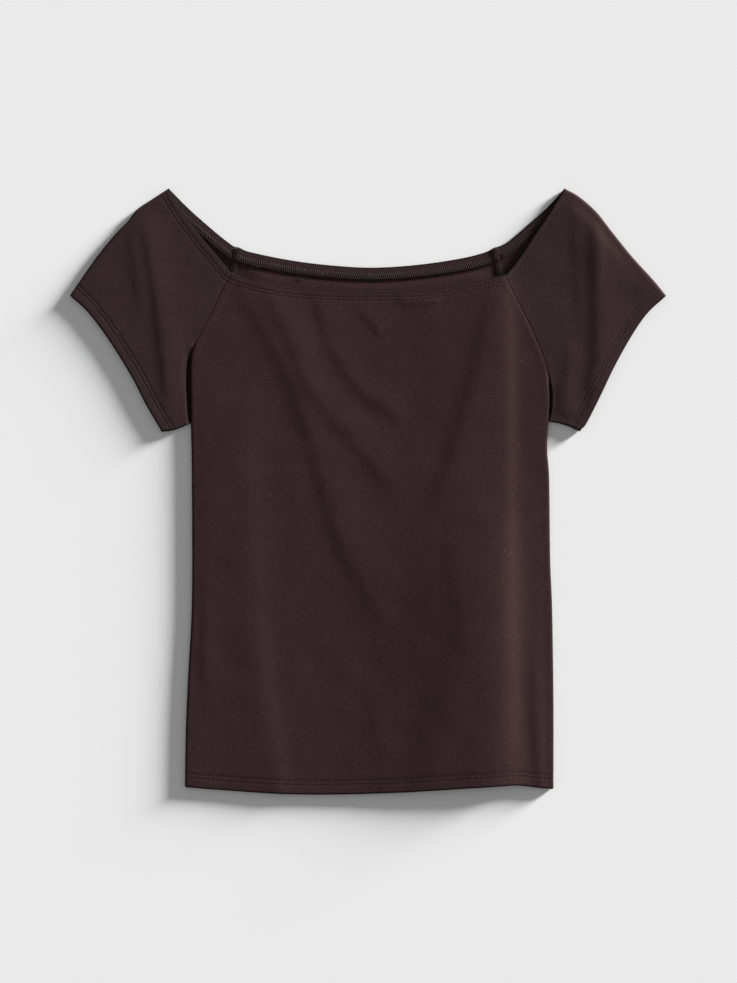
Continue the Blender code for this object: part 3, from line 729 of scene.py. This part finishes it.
def body_layer(face, neck_points, columns):
    """Middle points of the front or back: a patch between its long edges, which roll under at the sides."""
    edges = [body_edge(side, face) for side in ("right", "left")]
    rolls = [roll_columns(edge) for edge in edges]
    corners = [CORNERS[side].neck_front if face > 0 else CORNERS[side].neck_back
               for side in ("right", "left")]
    neck = smooth_line(corners[0], *neck_points, corners[1])
    hem = smooth_line(CORNERS["right"].hem, *HEM_LINE, CORNERS["left"].hem)
    core = patch(rolls[0][0][:, 0], rolls[1][0][:, 0], neck, hem, np.linspace(0, 1, columns + 1))
    plan = np.concatenate([rolls[0][0][:, :0:-1], core, rolls[1][0][:, 1:]], axis=1)
    drop = np.concatenate([rolls[0][1][:, :0:-1], np.zeros(core.shape[:2]), rolls[1][1][:, 1:]], axis=1)
    walked = reach(edges[0].plan)[:, None]
    press = sum(seam_press(edge, plan) for edge in edges)
    press = press + needle_press(walked, NECK_HEM) + needle_press(walked[-1] - walked, BODY_HEM)
    trench = np.ones(plan.shape[:2])
    if face > 0:
        side_hold = hold_near(edges[0], plan) * hold_near(edges[1], plan)
        height = top_height(plan[..., 0], plan[..., 1], side_hold, hold_at_hems(edges[0], NECK_HEM, BODY_HEM))
        height += sum(allowance_rise(edge, plan) for edge in edges)
        # Painted shade along the front's rolled left edge: this map darkens its colour to tone down the key's
        # highlight on the roll
        rolled = edges[1].bend[:, None] > 0.5
        trench = np.where(rolled, SIDE_RIM + off_edge(edges[1], plan) / 2, trench)
    else:
        bulge = ease((walked - BULGE_START) / BULGE_SLOPE) * (1 - ease((walked - BULGE_END) / BULGE_FALL))
        for edge in edges:
            bulge = bulge * ease(off_edge(edge, plan) / BULGE_SIDE - BULGE_START_SIDE)
        height = BACK_Z + BULGE_RISE * bulge
    points = np.dstack([plan[..., 0], plan[..., 1], height - face * drop])[1:-1]
    return Layer(points, surface_normals(points, face), press[1:-1], trench[1:-1])


def trench_width(side):
    """How wide the trench beside a sleeve's sunk seam is on each row, from 0 to 1."""
    raglan = raglan_line(side, 1)
    down = raglan_rows(raglan)
    start = SINK_START[side]
    share = np.clip((down - start) / (down[-1] - start), 0, 1)
    below = np.zeros(UNDERARM_ROWS + len(hem_stations(CUFF_HEM)) - 1)
    return np.concatenate([np.sin(share * TRENCH_TURN)**TRENCH_TAPER, below])


def sleeve_layer(side, face, fold, columns):
    """One layer of a sleeve, from the seam that rolls under to the top fold: points, press, and how far off its
    trench is, which sets the painted shade there.
    """
    edge = sleeve_edge(side, face)
    plan, drop = roll_columns(edge)
    corner = CORNERS[side]
    shares = np.linspace(0, 1, columns + 1)
    if face > 0:
        neck = smooth_line(corner.neck_front, *EDGES[side].neck_front, corner.peak)
        close = np.linspace(0, TRENCH_SHARE, TRENCH_COLUMNS + 1)
        shares = np.append(close, np.linspace(TRENCH_SHARE, 1, columns + 1)[1:])
    else:
        neck = smooth_line(corner.neck_back, *EDGES[side].neck_back, corner.peak)
    cuff = smooth_line(corner.cuff, *EDGES[side].cuff, corner.tip)
    core = patch(plan[:, 0], fold, neck, cuff, shares)
    plan = np.concatenate([plan[:, :0:-1], core], axis=1)
    drop = np.concatenate([drop[:, :0:-1], np.zeros(core.shape[:2])], axis=1)
    height = np.full(plan.shape[:2], BACK_Z)
    trench = np.ones(plan.shape[:2])
    if face > 0:
        beside_fold = ease(np.linalg.norm(plan - fold[:, None], axis=-1) / SIDE_HOLD)
        hem_hold = hold_at_hems(edge, NECK_HEM, CUFF_HEM)
        height = top_height(plan[..., 0], plan[..., 1], hold_near(edge, plan) * beside_fold, hem_hold)
        gap = off_edge(edge, plan)
        crevice = CREVICES[side]
        hold = (crevice.hold * trench_width(side))[:, None]
        # This distance from the trench sinks the cloth, and also sets the painted shade that darkens the colour
        # there
        trench = gap - hold + (hold < TRENCH_SLOPE)
        dip = crevice.fall * (1 - ease(gap / crevice.width))
        dip += crevice.trench * (1 - ease(trench / TRENCH_SLOPE))
        dip = np.minimum(dip * edge.bend[:, None] * hem_hold, TRENCH_FLOOR)
        height += drop - np.maximum(drop, dip)
    walked = reach(fold)[:, None]
    press = seam_press(edge, plan)
    press = press + needle_press(walked, NECK_HEM) + needle_press(walked[-1] - walked, CUFF_HEM)
    return np.dstack([plan[..., 0], plan[..., 1], height - face * drop]), press, trench


def sleeve_cloth(side):
    """A whole sleeve as one layer, from the front raglan seam over its top fold to the back raglan seam."""
    fold, out = shoulder_fold(side)
    top, top_press, top_trench = sleeve_layer(side, 1, fold, SLEEVE_TOP_COLUMNS)
    under, under_press, under_trench = sleeve_layer(side, -1, fold, SLEEVE_BACK_COLUMNS)
    outwards = np.column_stack([out, np.zeros(len(out))])
    centre = np.column_stack([fold, np.full(len(fold), (TOP_Z + BACK_Z) / 2)])
    turns = [math.pi * k / FOLD_STEPS for k in range(1, FOLD_STEPS)]
    turn_out = np.stack([math.cos(turn) * UP + math.sin(turn) * outwards for turn in turns], axis=1)
    turned = centre[:, None] + FOLD_ROLL * turn_out
    turn_press = np.repeat(top_press[:, -1:], len(turns), axis=1)
    turn_trench = np.ones((len(fold), len(turns)))
    top_out, under_out = surface_normals(top, 1), surface_normals(under, -1)
    return Layer(*(np.concatenate([over, turn, below[:, ::-1]], axis=1)[1:-1] for over, turn, below in (
        (top, turned, under), (top_out, turn_out, under_out), (top_press, turn_press, under_press),
        (top_trench, turn_trench, under_trench))))


def node(tree, kind, inputs=None, **properties):
    """A shader node with its properties set, and each input set to a value or linked to another output."""
    new = tree.nodes.new(kind)
    for key, value in properties.items():
        setattr(new, key, value)
    for key, value in (inputs or {}).items():
        if isinstance(value, bpy.types.NodeSocket):
            tree.links.new(value, new.inputs[key])
        else:
            new.inputs[key].default_value = value
    return new


def chain(tree, operation, *sides):
    """A Math node's result. Each side is a number or another node's output."""
    return node(tree, "ShaderNodeMath", dict(enumerate(sides)), operation=operation).outputs[0]


def blend(tree, parts):
    """Sum of other nodes' outputs, each times its share."""
    total = None
    for value, share in parts:
        part = chain(tree, "MULTIPLY", value, share)
        total = part if total is None else chain(tree, "ADD", total, part)
    return total


def wave(tree, turns):
    """Sine of a number of whole turns."""
    return chain(tree, "SINE", chain(tree, "MULTIPLY", turns, 2 * math.pi))


def scaled(tree, colour, gain):
    """A colour times a number."""
    return node(tree, "ShaderNodeVectorMath", {0: colour, "Scale": gain}, operation="SCALE").outputs[0]


def step_between(tree, value, start, end, low=0.0):
    """Smooth rise from a low value at the start to 1 at the end."""
    inputs = {"Value": value, "From Min": start, "From Max": end, "To Min": low}
    return node(tree, "ShaderNodeMapRange", inputs, interpolation_type="SMOOTHSTEP").outputs[0]


def new_group(name, inputs, outputs):
    """An empty node group with the named sockets, and its input and output nodes."""
    group = bpy.data.node_groups.new(name, "ShaderNodeTree")
    for title, kind, value in inputs:
        socket = group.interface.new_socket(title, in_out="INPUT", socket_type=kind)
        if value is not None:
            socket.default_value = value
    for title, kind in outputs:
        group.interface.new_socket(title, in_out="OUTPUT", socket_type=kind)
    return group, group.nodes.new("NodeGroupInput"), group.nodes.new("NodeGroupOutput")


def jersey_group():
    """Fine stocking-stitch jersey: height of its stitches, and its colour with streaks, heather and lint."""
    group, entry, out = new_group(
        "jersey_knit",
        [("Place", "NodeSocketVector", None), ("Colour", "NodeSocketColor", BODY_COLOUR),
         ("Wale", "NodeSocketFloat", WALE_PITCH), ("Course", "NodeSocketFloat", COURSE_PITCH),
         ("Streaks", "NodeSocketFloat", STREAK_GAIN), ("Lint", "NodeSocketFloat", LINT_GAIN)],
        [("Colour", "NodeSocketColor"), ("Height", "NodeSocketFloat"), ("Roughness", "NodeSocketFloat")])
    place = entry.outputs["Place"]
    split = node(group, "ShaderNodeSeparateXYZ", {0: place})
    wale = chain(group, "DIVIDE", split.outputs[0], entry.outputs["Wale"])
    course = chain(group, "DIVIDE", split.outputs[1], entry.outputs["Course"])
    across = chain(group, "ABSOLUTE", chain(group, "SUBTRACT", chain(group, "FRACT", wale), 0.5))
    leg = wave(group, chain(group, "ADD", course, across))
    stitch = blend(group, [(leg, LEG_SHARE), (wave(group, across), RIDGE_SHARE)])

    streaks = {}
    for title, streak in STREAKS.items():
        stretched = node(group, "ShaderNodeMapping", {"Vector": place, "Scale": streak.scale}).outputs[0]
        inputs = {"Vector": stretched, "Scale": 1.0, "Detail": streak.detail, "Roughness": STREAK_ROUGHNESS}
        streaks[title] = node(group, "ShaderNodeTexNoise", inputs).outputs[0]
    mixed = blend(group, [(streaks[title], streak.share) for title, streak in STREAKS.items()])
    swing = chain(group, "MULTIPLY", chain(group, "SUBTRACT", mixed, 0.5), entry.outputs["Streaks"])
    gain = chain(group, "ADD", chain(group, "MULTIPLY", swing, STREAK_SWING), 1.0)

    specks = node(group, "ShaderNodeTexVoronoi", {"Vector": place, "Scale": LINT_SCALE})
    lottery = node(group, "ShaderNodeSeparateColor", {0: specks.outputs["Color"]})
    rare = chain(group, "GREATER_THAN", lottery.outputs[0], LINT_RARITY)
    near = chain(group, "LESS_THAN", specks.outputs["Distance"], LINT_RADIUS)
    lint = chain(group, "MULTIPLY", chain(group, "MULTIPLY", rare, near), entry.outputs["Lint"])
    tint = scaled(group, entry.outputs["Colour"], gain)
    inputs = {MIX_FACTOR: lint, MIX_FIRST: tint, MIX_SECOND: LINT_COLOUR}
    speckled = node(group, "ShaderNodeMix", inputs, data_type="RGBA")
    group.links.new(speckled.outputs[MIX_RESULT], out.inputs["Colour"])

    heather, courses = streaks["heather"], streaks["courses"]
    height = blend(group, [(heather, HEATHER_HEIGHT), (courses, COURSE_HEIGHT), (stitch, STITCH_HEIGHT)])
    group.links.new(height, out.inputs["Height"])
    roughness = chain(group, "ADD", chain(group, "MULTIPLY", heather, HEATHER_ROUGHNESS), JERSEY_ROUGHNESS)
    group.links.new(roughness, out.inputs["Roughness"])
    return group


def pucker_group():
    """Small crosswise puckers that twin stitching raises on a hem, from a map along and in from its edge, and the
    painted shade of its folded edge.
    """
    group, entry, out = new_group(
        "hem_puckers",
        [("Edge", "NodeSocketVector", None), ("From", "NodeSocketFloat", NECK_HEM.needles[0]),
         ("To", "NodeSocketFloat", NECK_HEM.needles[1]), ("Pitch", "NodeSocketFloat", STITCH_PITCH),
         ("Shade", "NodeSocketFloat", FOLD_SHADE)],
        [("Height", "NodeSocketFloat"), ("Fold", "NodeSocketFloat")])
    edge = entry.outputs["Edge"]
    start, end = entry.outputs["From"], entry.outputs["To"]
    split = node(group, "ShaderNodeSeparateXYZ", {0: edge})
    along, inwards = split.outputs[0], split.outputs[1]
    inputs = {"Vector": edge, "Scale": PUCKER_NOISE, "Detail": 1.0}
    noise = node(group, "ShaderNodeTexNoise", inputs).outputs[0]
    turns = chain(group, "ADD", chain(group, "DIVIDE", along, entry.outputs["Pitch"]), noise)
    rise = step_between(group, inwards, chain(group, "SUBTRACT", start, PUCKER_SOFT), start)
    fall = step_between(group, inwards, chain(group, "ADD", end, PUCKER_SOFT), end)
    height = chain(group, "MULTIPLY", wave(group, turns), chain(group, "MULTIPLY", rise, fall))
    group.links.new(height, out.inputs["Height"])
    # Painted shade: the colour darkens towards the folded edge, toning down its highlight
    painted_fold_shade = step_between(group, inwards, *FOLD_RIM, entry.outputs["Shade"])
    group.links.new(painted_fold_shade, out.inputs["Fold"])
    return group


def new_material(name, values):
    """A material with these constant values on its shader, its node tree and its shader."""
    material = bpy.data.materials.new(name)
    material.use_nodes = True
    shader = material.node_tree.nodes["Principled BSDF"]
    for title, value in values.items():
        shader.inputs[title].default_value = value
    return material, material.node_tree, shader


def jersey_material(name, colour, groups, last_hem):
    """Matt fine jersey with puckered hems, and painted shade at folded edges, in the trench beside a seam and on
    the front's rolled side edge.
    """
    knit, puckers = groups
    material, tree, shader = new_material(name, {
        "Specular IOR Level": JERSEY_SPECULAR, "Sheen Weight": JERSEY_SHEEN, "Sheen Roughness": 0.5,
        "Sheen Tint": SHEEN_TINT})
    maps = {title: node(tree, "ShaderNodeUVMap", uv_map=title).outputs[0] for title in MAPS}
    inputs = {"Place": maps["Cloth"], "Colour": colour, "Streaks": STREAK_GAIN, "Lint": LINT_GAIN}
    cloth = node(tree, "ShaderNodeGroup", inputs, node_tree=knit)
    # Painted shade: the colour is darkened in the trench beside a sleeve seam and on the front's rolled side edge
    depth = node(tree, "ShaderNodeSeparateXYZ", {0: maps["Trench"]}).outputs[0]
    tint = scaled(tree, cloth.outputs["Colour"], step_between(tree, depth, *TRENCH_RIM, TRENCH_SHADE))
    inputs = {"Distance": KNIT_BUMP, "Strength": KNIT_STRENGTH, "Height": cloth.outputs["Height"]}
    normal = node(tree, "ShaderNodeBump", inputs).outputs[0]
    # Each hem adds its puckers, and painted shade that darkens the colour at its folded edge
    for title, hem, shade in (("First", NECK_HEM, NECK_FOLD_SHADE), ("Last", last_hem, FOLD_SHADE)):
        inputs = {"Edge": maps[title], "Shade": shade, "From": hem.needles[0] - PUCKER_REACH,
                  "To": hem.needles[1] + PUCKER_PAST}
        hem_finish = node(tree, "ShaderNodeGroup", inputs, node_tree=puckers)
        tint = scaled(tree, tint, hem_finish.outputs["Fold"])
        inputs = {"Distance": PUCKER_BUMP, "Strength": PUCKER_STRENGTH, "Normal": normal,
                  "Height": hem_finish.outputs["Height"]}
        normal = node(tree, "ShaderNodeBump", inputs).outputs[0]
    tree.links.new(cloth.outputs["Roughness"], shader.inputs["Roughness"])
    tree.links.new(normal, shader.inputs["Normal"])
    tree.links.new(tint, shader.inputs["Base Color"])
    return material


def mottled(tree, colour, scale, detail, shares):
    """A colour that varies finely between two shares of itself: the noise that it follows, and the colour."""
    place = node(tree, "ShaderNodeTexCoord").outputs["Object"]
    noise = node(tree, "ShaderNodeTexNoise", {"Vector": place, "Scale": scale, "Detail": detail}).outputs[0]
    ramp = node(tree, "ShaderNodeValToRGB", {0: noise})
    for element, share in zip(ramp.color_ramp.elements, shares):
        element.color = [*(channel * share for channel in colour[:3]), 1]
    return noise, ramp.outputs[0]


def thread_material(name, colour):
    """Spun sewing thread with a fine twist along each stitch."""
    material, tree, shader = new_material(name, {"Roughness": 0.75, "Specular IOR Level": 0.12})
    noise, tint = mottled(tree, colour, THREAD_TWIST, 2.0, THREAD_SHADES)
    bump = node(tree, "ShaderNodeBump", {"Distance": THREAD_BUMP, "Height": noise})
    tree.links.new(tint, shader.inputs["Base Color"])
    tree.links.new(bump.outputs[0], shader.inputs["Normal"])
    return material


def floor_material():
    """Pale matt paper."""
    material, tree, shader = new_material("pale_floor", {"Roughness": 0.95, "Specular IOR Level": 0.1})
    _, tint = mottled(tree, FLOOR_COLOUR, FLOOR_MOTTLE, 1.0, FLOOR_SHADES)
    tree.links.new(tint, shader.inputs["Base Color"])
    return material


def stitch_template(length, width, rings=4, height=None):
    """One stitch, a small spindle of thread along X, as points and faces. It is round without a height."""
    bpy.ops.object.select_all(action="DESELECT")
    bpy.ops.mesh.primitive_uv_sphere_add(segments=STITCH_SIDES, ring_count=rings, radius=0.5,
                                         rotation=(0, math.pi / 2, 0))
    spindle = bpy.context.active_object
    bpy.ops.object.transform_apply(rotation=True)
    bpy.ops.object.mode_set(mode="EDIT")
    bpy.ops.mesh.select_all(action="SELECT")
    bpy.ops.transform.resize(value=(length, width, height or width), center_override=(0, 0, 0))
    bpy.ops.object.mode_set(mode="OBJECT")
    points = np.array([vertex.co for vertex in spindle.data.vertices])
    faces = [list(face.vertices) for face in spindle.data.polygons]
    bpy.data.objects.remove(spindle)
    return points, faces


def joined_threads(name, template, places, material):
    """Copies of a stitch joined into one piece. Each place is a middle, direction, up and length ratio."""
    shape, faces = template
    points = []
    all_faces = []
    for k, (middle, along, up, ratio) in enumerate(places):
        along = along / np.linalg.norm(along)
        up = up - along * up.dot(along)
        up /= np.linalg.norm(up)
        side = np.cross(up, along)
        points.append(middle + shape[:, :1] * along * ratio + shape[:, 1:2] * side + shape[:, 2:] * up)
        start = k * len(shape)
        all_faces += [[start + corner for corner in face] for face in faces]
    piece = mesh_piece(name, np.concatenate(points), all_faces, material)
    piece.data.shade_smooth()
    turn_outwards(piece)
    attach(piece, "root")


def direction_at(directions, walked, distance):
    """Direction at a distance along a line that has one at each of its points."""
    return np.array([np.interp(distance, walked, directions[:, k]) for k in range(3)])


def row_of(cloth, hem, needle, last):
    """A needle row on the outer face of a piece: its points and outside directions, from side to side."""
    stations = hem_stations(hem)[1:]
    k = int(np.argmin(abs(stations - hem.needles[needle])))
    k = -1 - k if last else k
    points = cloth.points[k] + (WALL / 2 - cloth.press[k])[:, None] * cloth.normals[k]
    return points, cloth.normals[k]


def stitch_row(points, normals, draw):
    """Places of the stitches along one needle row."""
    far = reach(points)
    places = []
    for middle in np.arange(ROW_STOP, far[-1] - ROW_STOP, STITCH_PITCH):
        centre = at(points, [middle])[0]
        ahead = at(points, [middle + STITCH_STEP])[0] - at(points, [middle - STITCH_STEP])[0]
        out = direction_at(normals, far, middle)
        jitter = np.clip(draw.normal(0, STITCH_JITTER, 3), -STITCH_JITTER, STITCH_JITTER)
        rise = out * THREAD * (0.5 - STITCH_SINK)
        places.append((centre + rise + jitter, ahead, out, draw.uniform(*STITCH_LENGTHS)))
    return places


def hem_stitches(name, hems, material, template):
    """Twin needle rows of some hems as one joined piece. Each is a cloth, its hem and whether it is last."""
    draw = np.random.default_rng(len(name))
    places = []
    for cloth, hem, last in hems:
        for needle in (0, 1):
            places += stitch_row(*row_of(cloth, hem, needle, last), draw)
    joined_threads(name, template, places, material)


def loopers(name, cloth, material):
    """Looper threads on the inside of a neck hem, over its raw edge, and the thread along that edge."""
    draw = np.random.default_rng(len(name) + LOOP_SEED)
    stations = hem_stations(NECK_HEM)[1:]
    near = int(np.argmin(abs(stations - (NECK_HEM.needles[0] - LOOP_PAST))))
    far = len(stations) - 1
    depth = LAYER + WALL / 2 + THREAD * LOOP_STAND
    upper, lower = (cloth.points[k] - depth * cloth.normals[k] for k in (near, far))
    walked, walked_below = reach(upper), reach(lower)
    span = np.linalg.norm(upper - lower, axis=1).mean()
    places = []
    for middle in np.arange(ROW_STOP, walked[-1] - ROW_STOP, LOOP_PITCH):
        lean = LOOP_LEAN + draw.normal(0, LOOP_LEAN_SPREAD)
        start = at(upper, [middle - lean])[0]
        end = at(lower, [np.interp(middle + lean, walked, walked_below)])[0]
        up = direction_at(-cloth.normals[near], walked, middle)
        places.append(((start + end) / 2, end - start, up, 1.0))
    joined_threads(name, stitch_template(span, LOOP_WIDTH, 5, LOOP_HEIGHT), places, material)
    places = []
    for middle in np.arange(ROW_STOP, walked_below[-1] - ROW_STOP, EDGE_PITCH):
        up = direction_at(-cloth.normals[far], walked_below, middle)
        spot = at(lower, [middle])[0]
        ahead = at(lower, [middle + STITCH_STEP])[0] - spot
        places.append((spot + up * draw.uniform(0, EDGE_LIFT), ahead, up, draw.uniform(*EDGE_LENGTHS)))
    joined_threads(name + "_edge", stitch_template(EDGE_PITCH, EDGE_WIDTH), places, material)


def allowance_grid(line, outward):
    """Overlocked allowance beside a back raglan seam: its middle points, and where rows and columns lie."""
    down = np.linspace(OVERLOCK_TOP, OVERLOCK_LENGTH, OVERLOCK_ROWS)
    across = np.linspace(0, OVERLOCK_WIDTH, OVERLOCK_COLUMNS)
    beside = outward * left_hand(line, down)
    ripple = OVERLOCK_RIPPLE * np.sin(down * OVERLOCK_RIPPLE_TURN)[:, None]
    plan = at(line, down)[:, None] + beside[:, None] * (across[None, :, None] + GAP + ripple[..., None])
    base = WALL + LAYER * (1 - ease((down - NECK_HEM.depth) / OVERLOCK_SLOPE)) + OVERLOCK_CLEAR
    crown = OVERLOCK_RISE * np.sin(math.pi * np.linspace(*OVERLOCK_CROWN, OVERLOCK_COLUMNS))
    return np.dstack([plan, base[:, None] + crown]), down, across


def overlock(name, side, jersey, thread):
    """Overlocked allowance of a back raglan seam, laid towards +X on the inside, with its threads."""
    line = raglan_line(side, -1)
    outward = 1 if side == "right" else -1
    grid, down, across = allowance_grid(line, outward)
    rows, columns = grid.shape[:2]
    faces = [[i * columns + j, (i + 1) * columns + j, (i + 1) * columns + j + 1, i * columns + j + 1]
             for i in range(rows - 1) for j in range(columns - 1)]
    chart = np.dstack(np.meshgrid(across, -down)).reshape(-1, 2)
    charts = {title: chart + shift for title, shift in OVERLOCK_MAPS.items()}
    piece = mesh_piece(name, grid.reshape(-1, 3), faces, jersey, charts)
    bpy.ops.object.select_all(action="DESELECT")
    piece.select_set(True)
    bpy.context.view_layer.objects.active = piece
    wall = piece.modifiers.new("wall", "SOLIDIFY")
    wall.thickness = OVERLOCK_WALL
    wall.offset = 0
    bpy.ops.object.modifier_apply(modifier="wall")
    turn_outwards(piece)
    piece.data.shade_smooth()
    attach(piece, "root")

    draw = np.random.default_rng(len(name) + OVERLOCK_SEED)
    places = []
    top = grid[:, :, 2].max(axis=1) + OVERLOCK_WALL / 2 + THREAD * OVERLOCK_STAND
    for middle in np.arange(OVERLOCK_TOP + OVERLOCK_STOP, OVERLOCK_LENGTH - OVERLOCK_STOP, OVERLOCK_PITCH):
        lean = OVERLOCK_PITCH * OVERLOCK_LEANS[len(places) % 2] + draw.normal(0, OVERLOCK_LEAN_SPREAD)
        beside = outward * left_hand(line, np.array([middle]))[0]
        start = at(line, [middle - lean])[0] + beside * GAP
        end = at(line, [middle + lean])[0] + beside * (OVERLOCK_WIDTH + GAP)
        height = np.interp(middle, down, top) + draw.normal(0, OVERLOCK_LIFT_SPREAD)
        centre = np.append((start + end) / 2, height)
        places.append((centre, np.append(end - start, 0.0), UP, draw.uniform(*OVERLOCK_LENGTHS)))
    joined_threads(name + "_threads", stitch_template(*OVERLOCK_THREAD, 5), places, thread)
    places = []
    for middle in np.arange(OVERLOCK_TOP, OVERLOCK_LENGTH - OVERLOCK_EDGE_STOP, OVERLOCK_PITCH):
        beside = outward * left_hand(line, np.array([middle]))[0]
        here = at(line, [middle])[0]
        ahead = np.append(at(line, [middle + STITCH_STEP])[0] - here, 0.0)
        height = np.interp(middle, down, grid[:, 0, 2]) + OVERLOCK_WALL / 2
        for share in OVERLOCK_EDGES:
            spot = np.append(here + beside * (GAP + OVERLOCK_WIDTH * share), height)
            places.append((spot, ahead, UP, draw.uniform(*OVERLOCK_EDGE_LENGTHS)))
    joined_threads(name + "_edge", stitch_template(*OVERLOCK_EDGE_THREAD), places, thread)


def thread_tail(material):
    """Short loose ends where the looper threads of the back neck start and stop."""
    x, y, z = THREAD_TAIL
    places = []
    for shift_x, shift_y, heading in THREAD_ENDS:
        along = np.array([math.cos(heading), math.sin(heading), 0.0])
        places.append((np.array([x + shift_x, y + shift_y, z]), along, UP, 1.0))
    joined_threads("neck_thread_tail", stitch_template(THREAD_END_LENGTH, THREAD, 6), places, material)


def build_garment():
    """The four cloth pieces in place of the model's solids, and the materials of body and sleeves."""
    groups = (jersey_group(), pucker_group())
    body = jersey_material("body_jersey", BODY_COLOUR, groups, BODY_HEM)
    arm = jersey_material("sleeve_jersey", SLEEVE_COLOUR, groups, CUFF_HEM)
    cloths = {
        "front": body_layer(1, FRONT_NECK, FRONT_COLUMNS),
        "back": body_layer(-1, BACK_NECK, BACK_COLUMNS),
        "sleeve_right": sleeve_cloth("right"),
        "sleeve_left": sleeve_cloth("left"),
    }
    for name, cloth in cloths.items():
        is_body = name in ("front", "back")
        last_hem = BODY_HEM if is_body else CUFF_HEM
        piece = cloth_wall(name + "_cloth", cloth, NECK_HEM, last_hem, is_body, body if is_body else arm)
        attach(piece, "root")
        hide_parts(name)
    return cloths, body, arm


def build_stitches(cloths, body, arm):
    """All sewing that shows: twin rows outside each hem, loopers and overlocking inside the neck."""
    material = thread_material("sewing_thread", THREAD_COLOUR)
    looper_thread = thread_material("looper_thread", LOOPER_COLOUR)
    template = stitch_template(STITCH_LENGTH, THREAD)
    hem_stitches("neck_stitches", [(cloths[name], NECK_HEM, False) for name in cloths], material, template)
    hem_stitches("bottom_stitches", [(cloths[name], BODY_HEM, True) for name in ("front", "back")],
                 material, template)
    for side in ("right", "left"):
        hems = [(cloths["sleeve_" + side], CUFF_HEM, True)]
        hem_stitches("cuff_stitches_" + side, hems, material, template)
    for name in ("back", "sleeve_right", "sleeve_left"):
        loopers("neck_loopers_" + name, cloths[name], looper_thread)
    overlock("raglan_overlock_right", "right", body, material)
    overlock("raglan_overlock_left", "left", arm, material)
    thread_tail(material)


def build_stage():
    """Pale floor, soft light and the camera."""
    bpy.ops.object.select_all(action="DESELECT")
    bpy.ops.mesh.primitive_plane_add(size=FLOOR_SIZE, location=(0, 0, -FLOOR_DEPTH))
    floor = bpy.context.active_object
    floor.name = "floor"
    floor.data.materials.append(floor_material())

    key = bpy.data.lights.new("key", "SUN")
    key.energy = KEY_STRENGTH
    key.angle = KEY_SPREAD
    towards = Vector((math.cos(KEY_ELEVATION) * math.cos(KEY_AZIMUTH),
                      math.cos(KEY_ELEVATION) * math.sin(KEY_AZIMUTH), math.sin(KEY_ELEVATION)))
    lamp = bpy.data.objects.new("key", key)
    lamp.rotation_euler = towards.to_track_quat("Z", "Y").to_euler()
    lamp.location = towards
    bpy.context.collection.objects.link(lamp)

    world = bpy.data.worlds.new("studio")
    bpy.context.scene.world = world
    world.use_nodes = True
    fill = world.node_tree.nodes["Background"]
    fill.inputs["Color"].default_value = (1, 1, 1, 1)
    fill.inputs["Strength"].default_value = FILL_STRENGTH

    camera = bpy.data.cameras.new("camera")
    camera.sensor_fit = "VERTICAL"
    camera.sensor_height = SENSOR_HEIGHT * 1000
    camera.lens = camera.sensor_height * CAMERA_HEIGHT / (PHOTO_HEIGHT * METRES_A_PIXEL)
    view = bpy.data.objects.new("camera", camera)
    view.location = (*VIEW_CENTRE, CAMERA_HEIGHT)
    bpy.context.collection.objects.link(view)
    bpy.context.scene.camera = view
    bpy.context.scene.view_settings.view_transform = "Standard"


def main():
    build_stage()
    cloths, body, arm = build_garment()
    build_stitches(cloths, body, arm)


main()
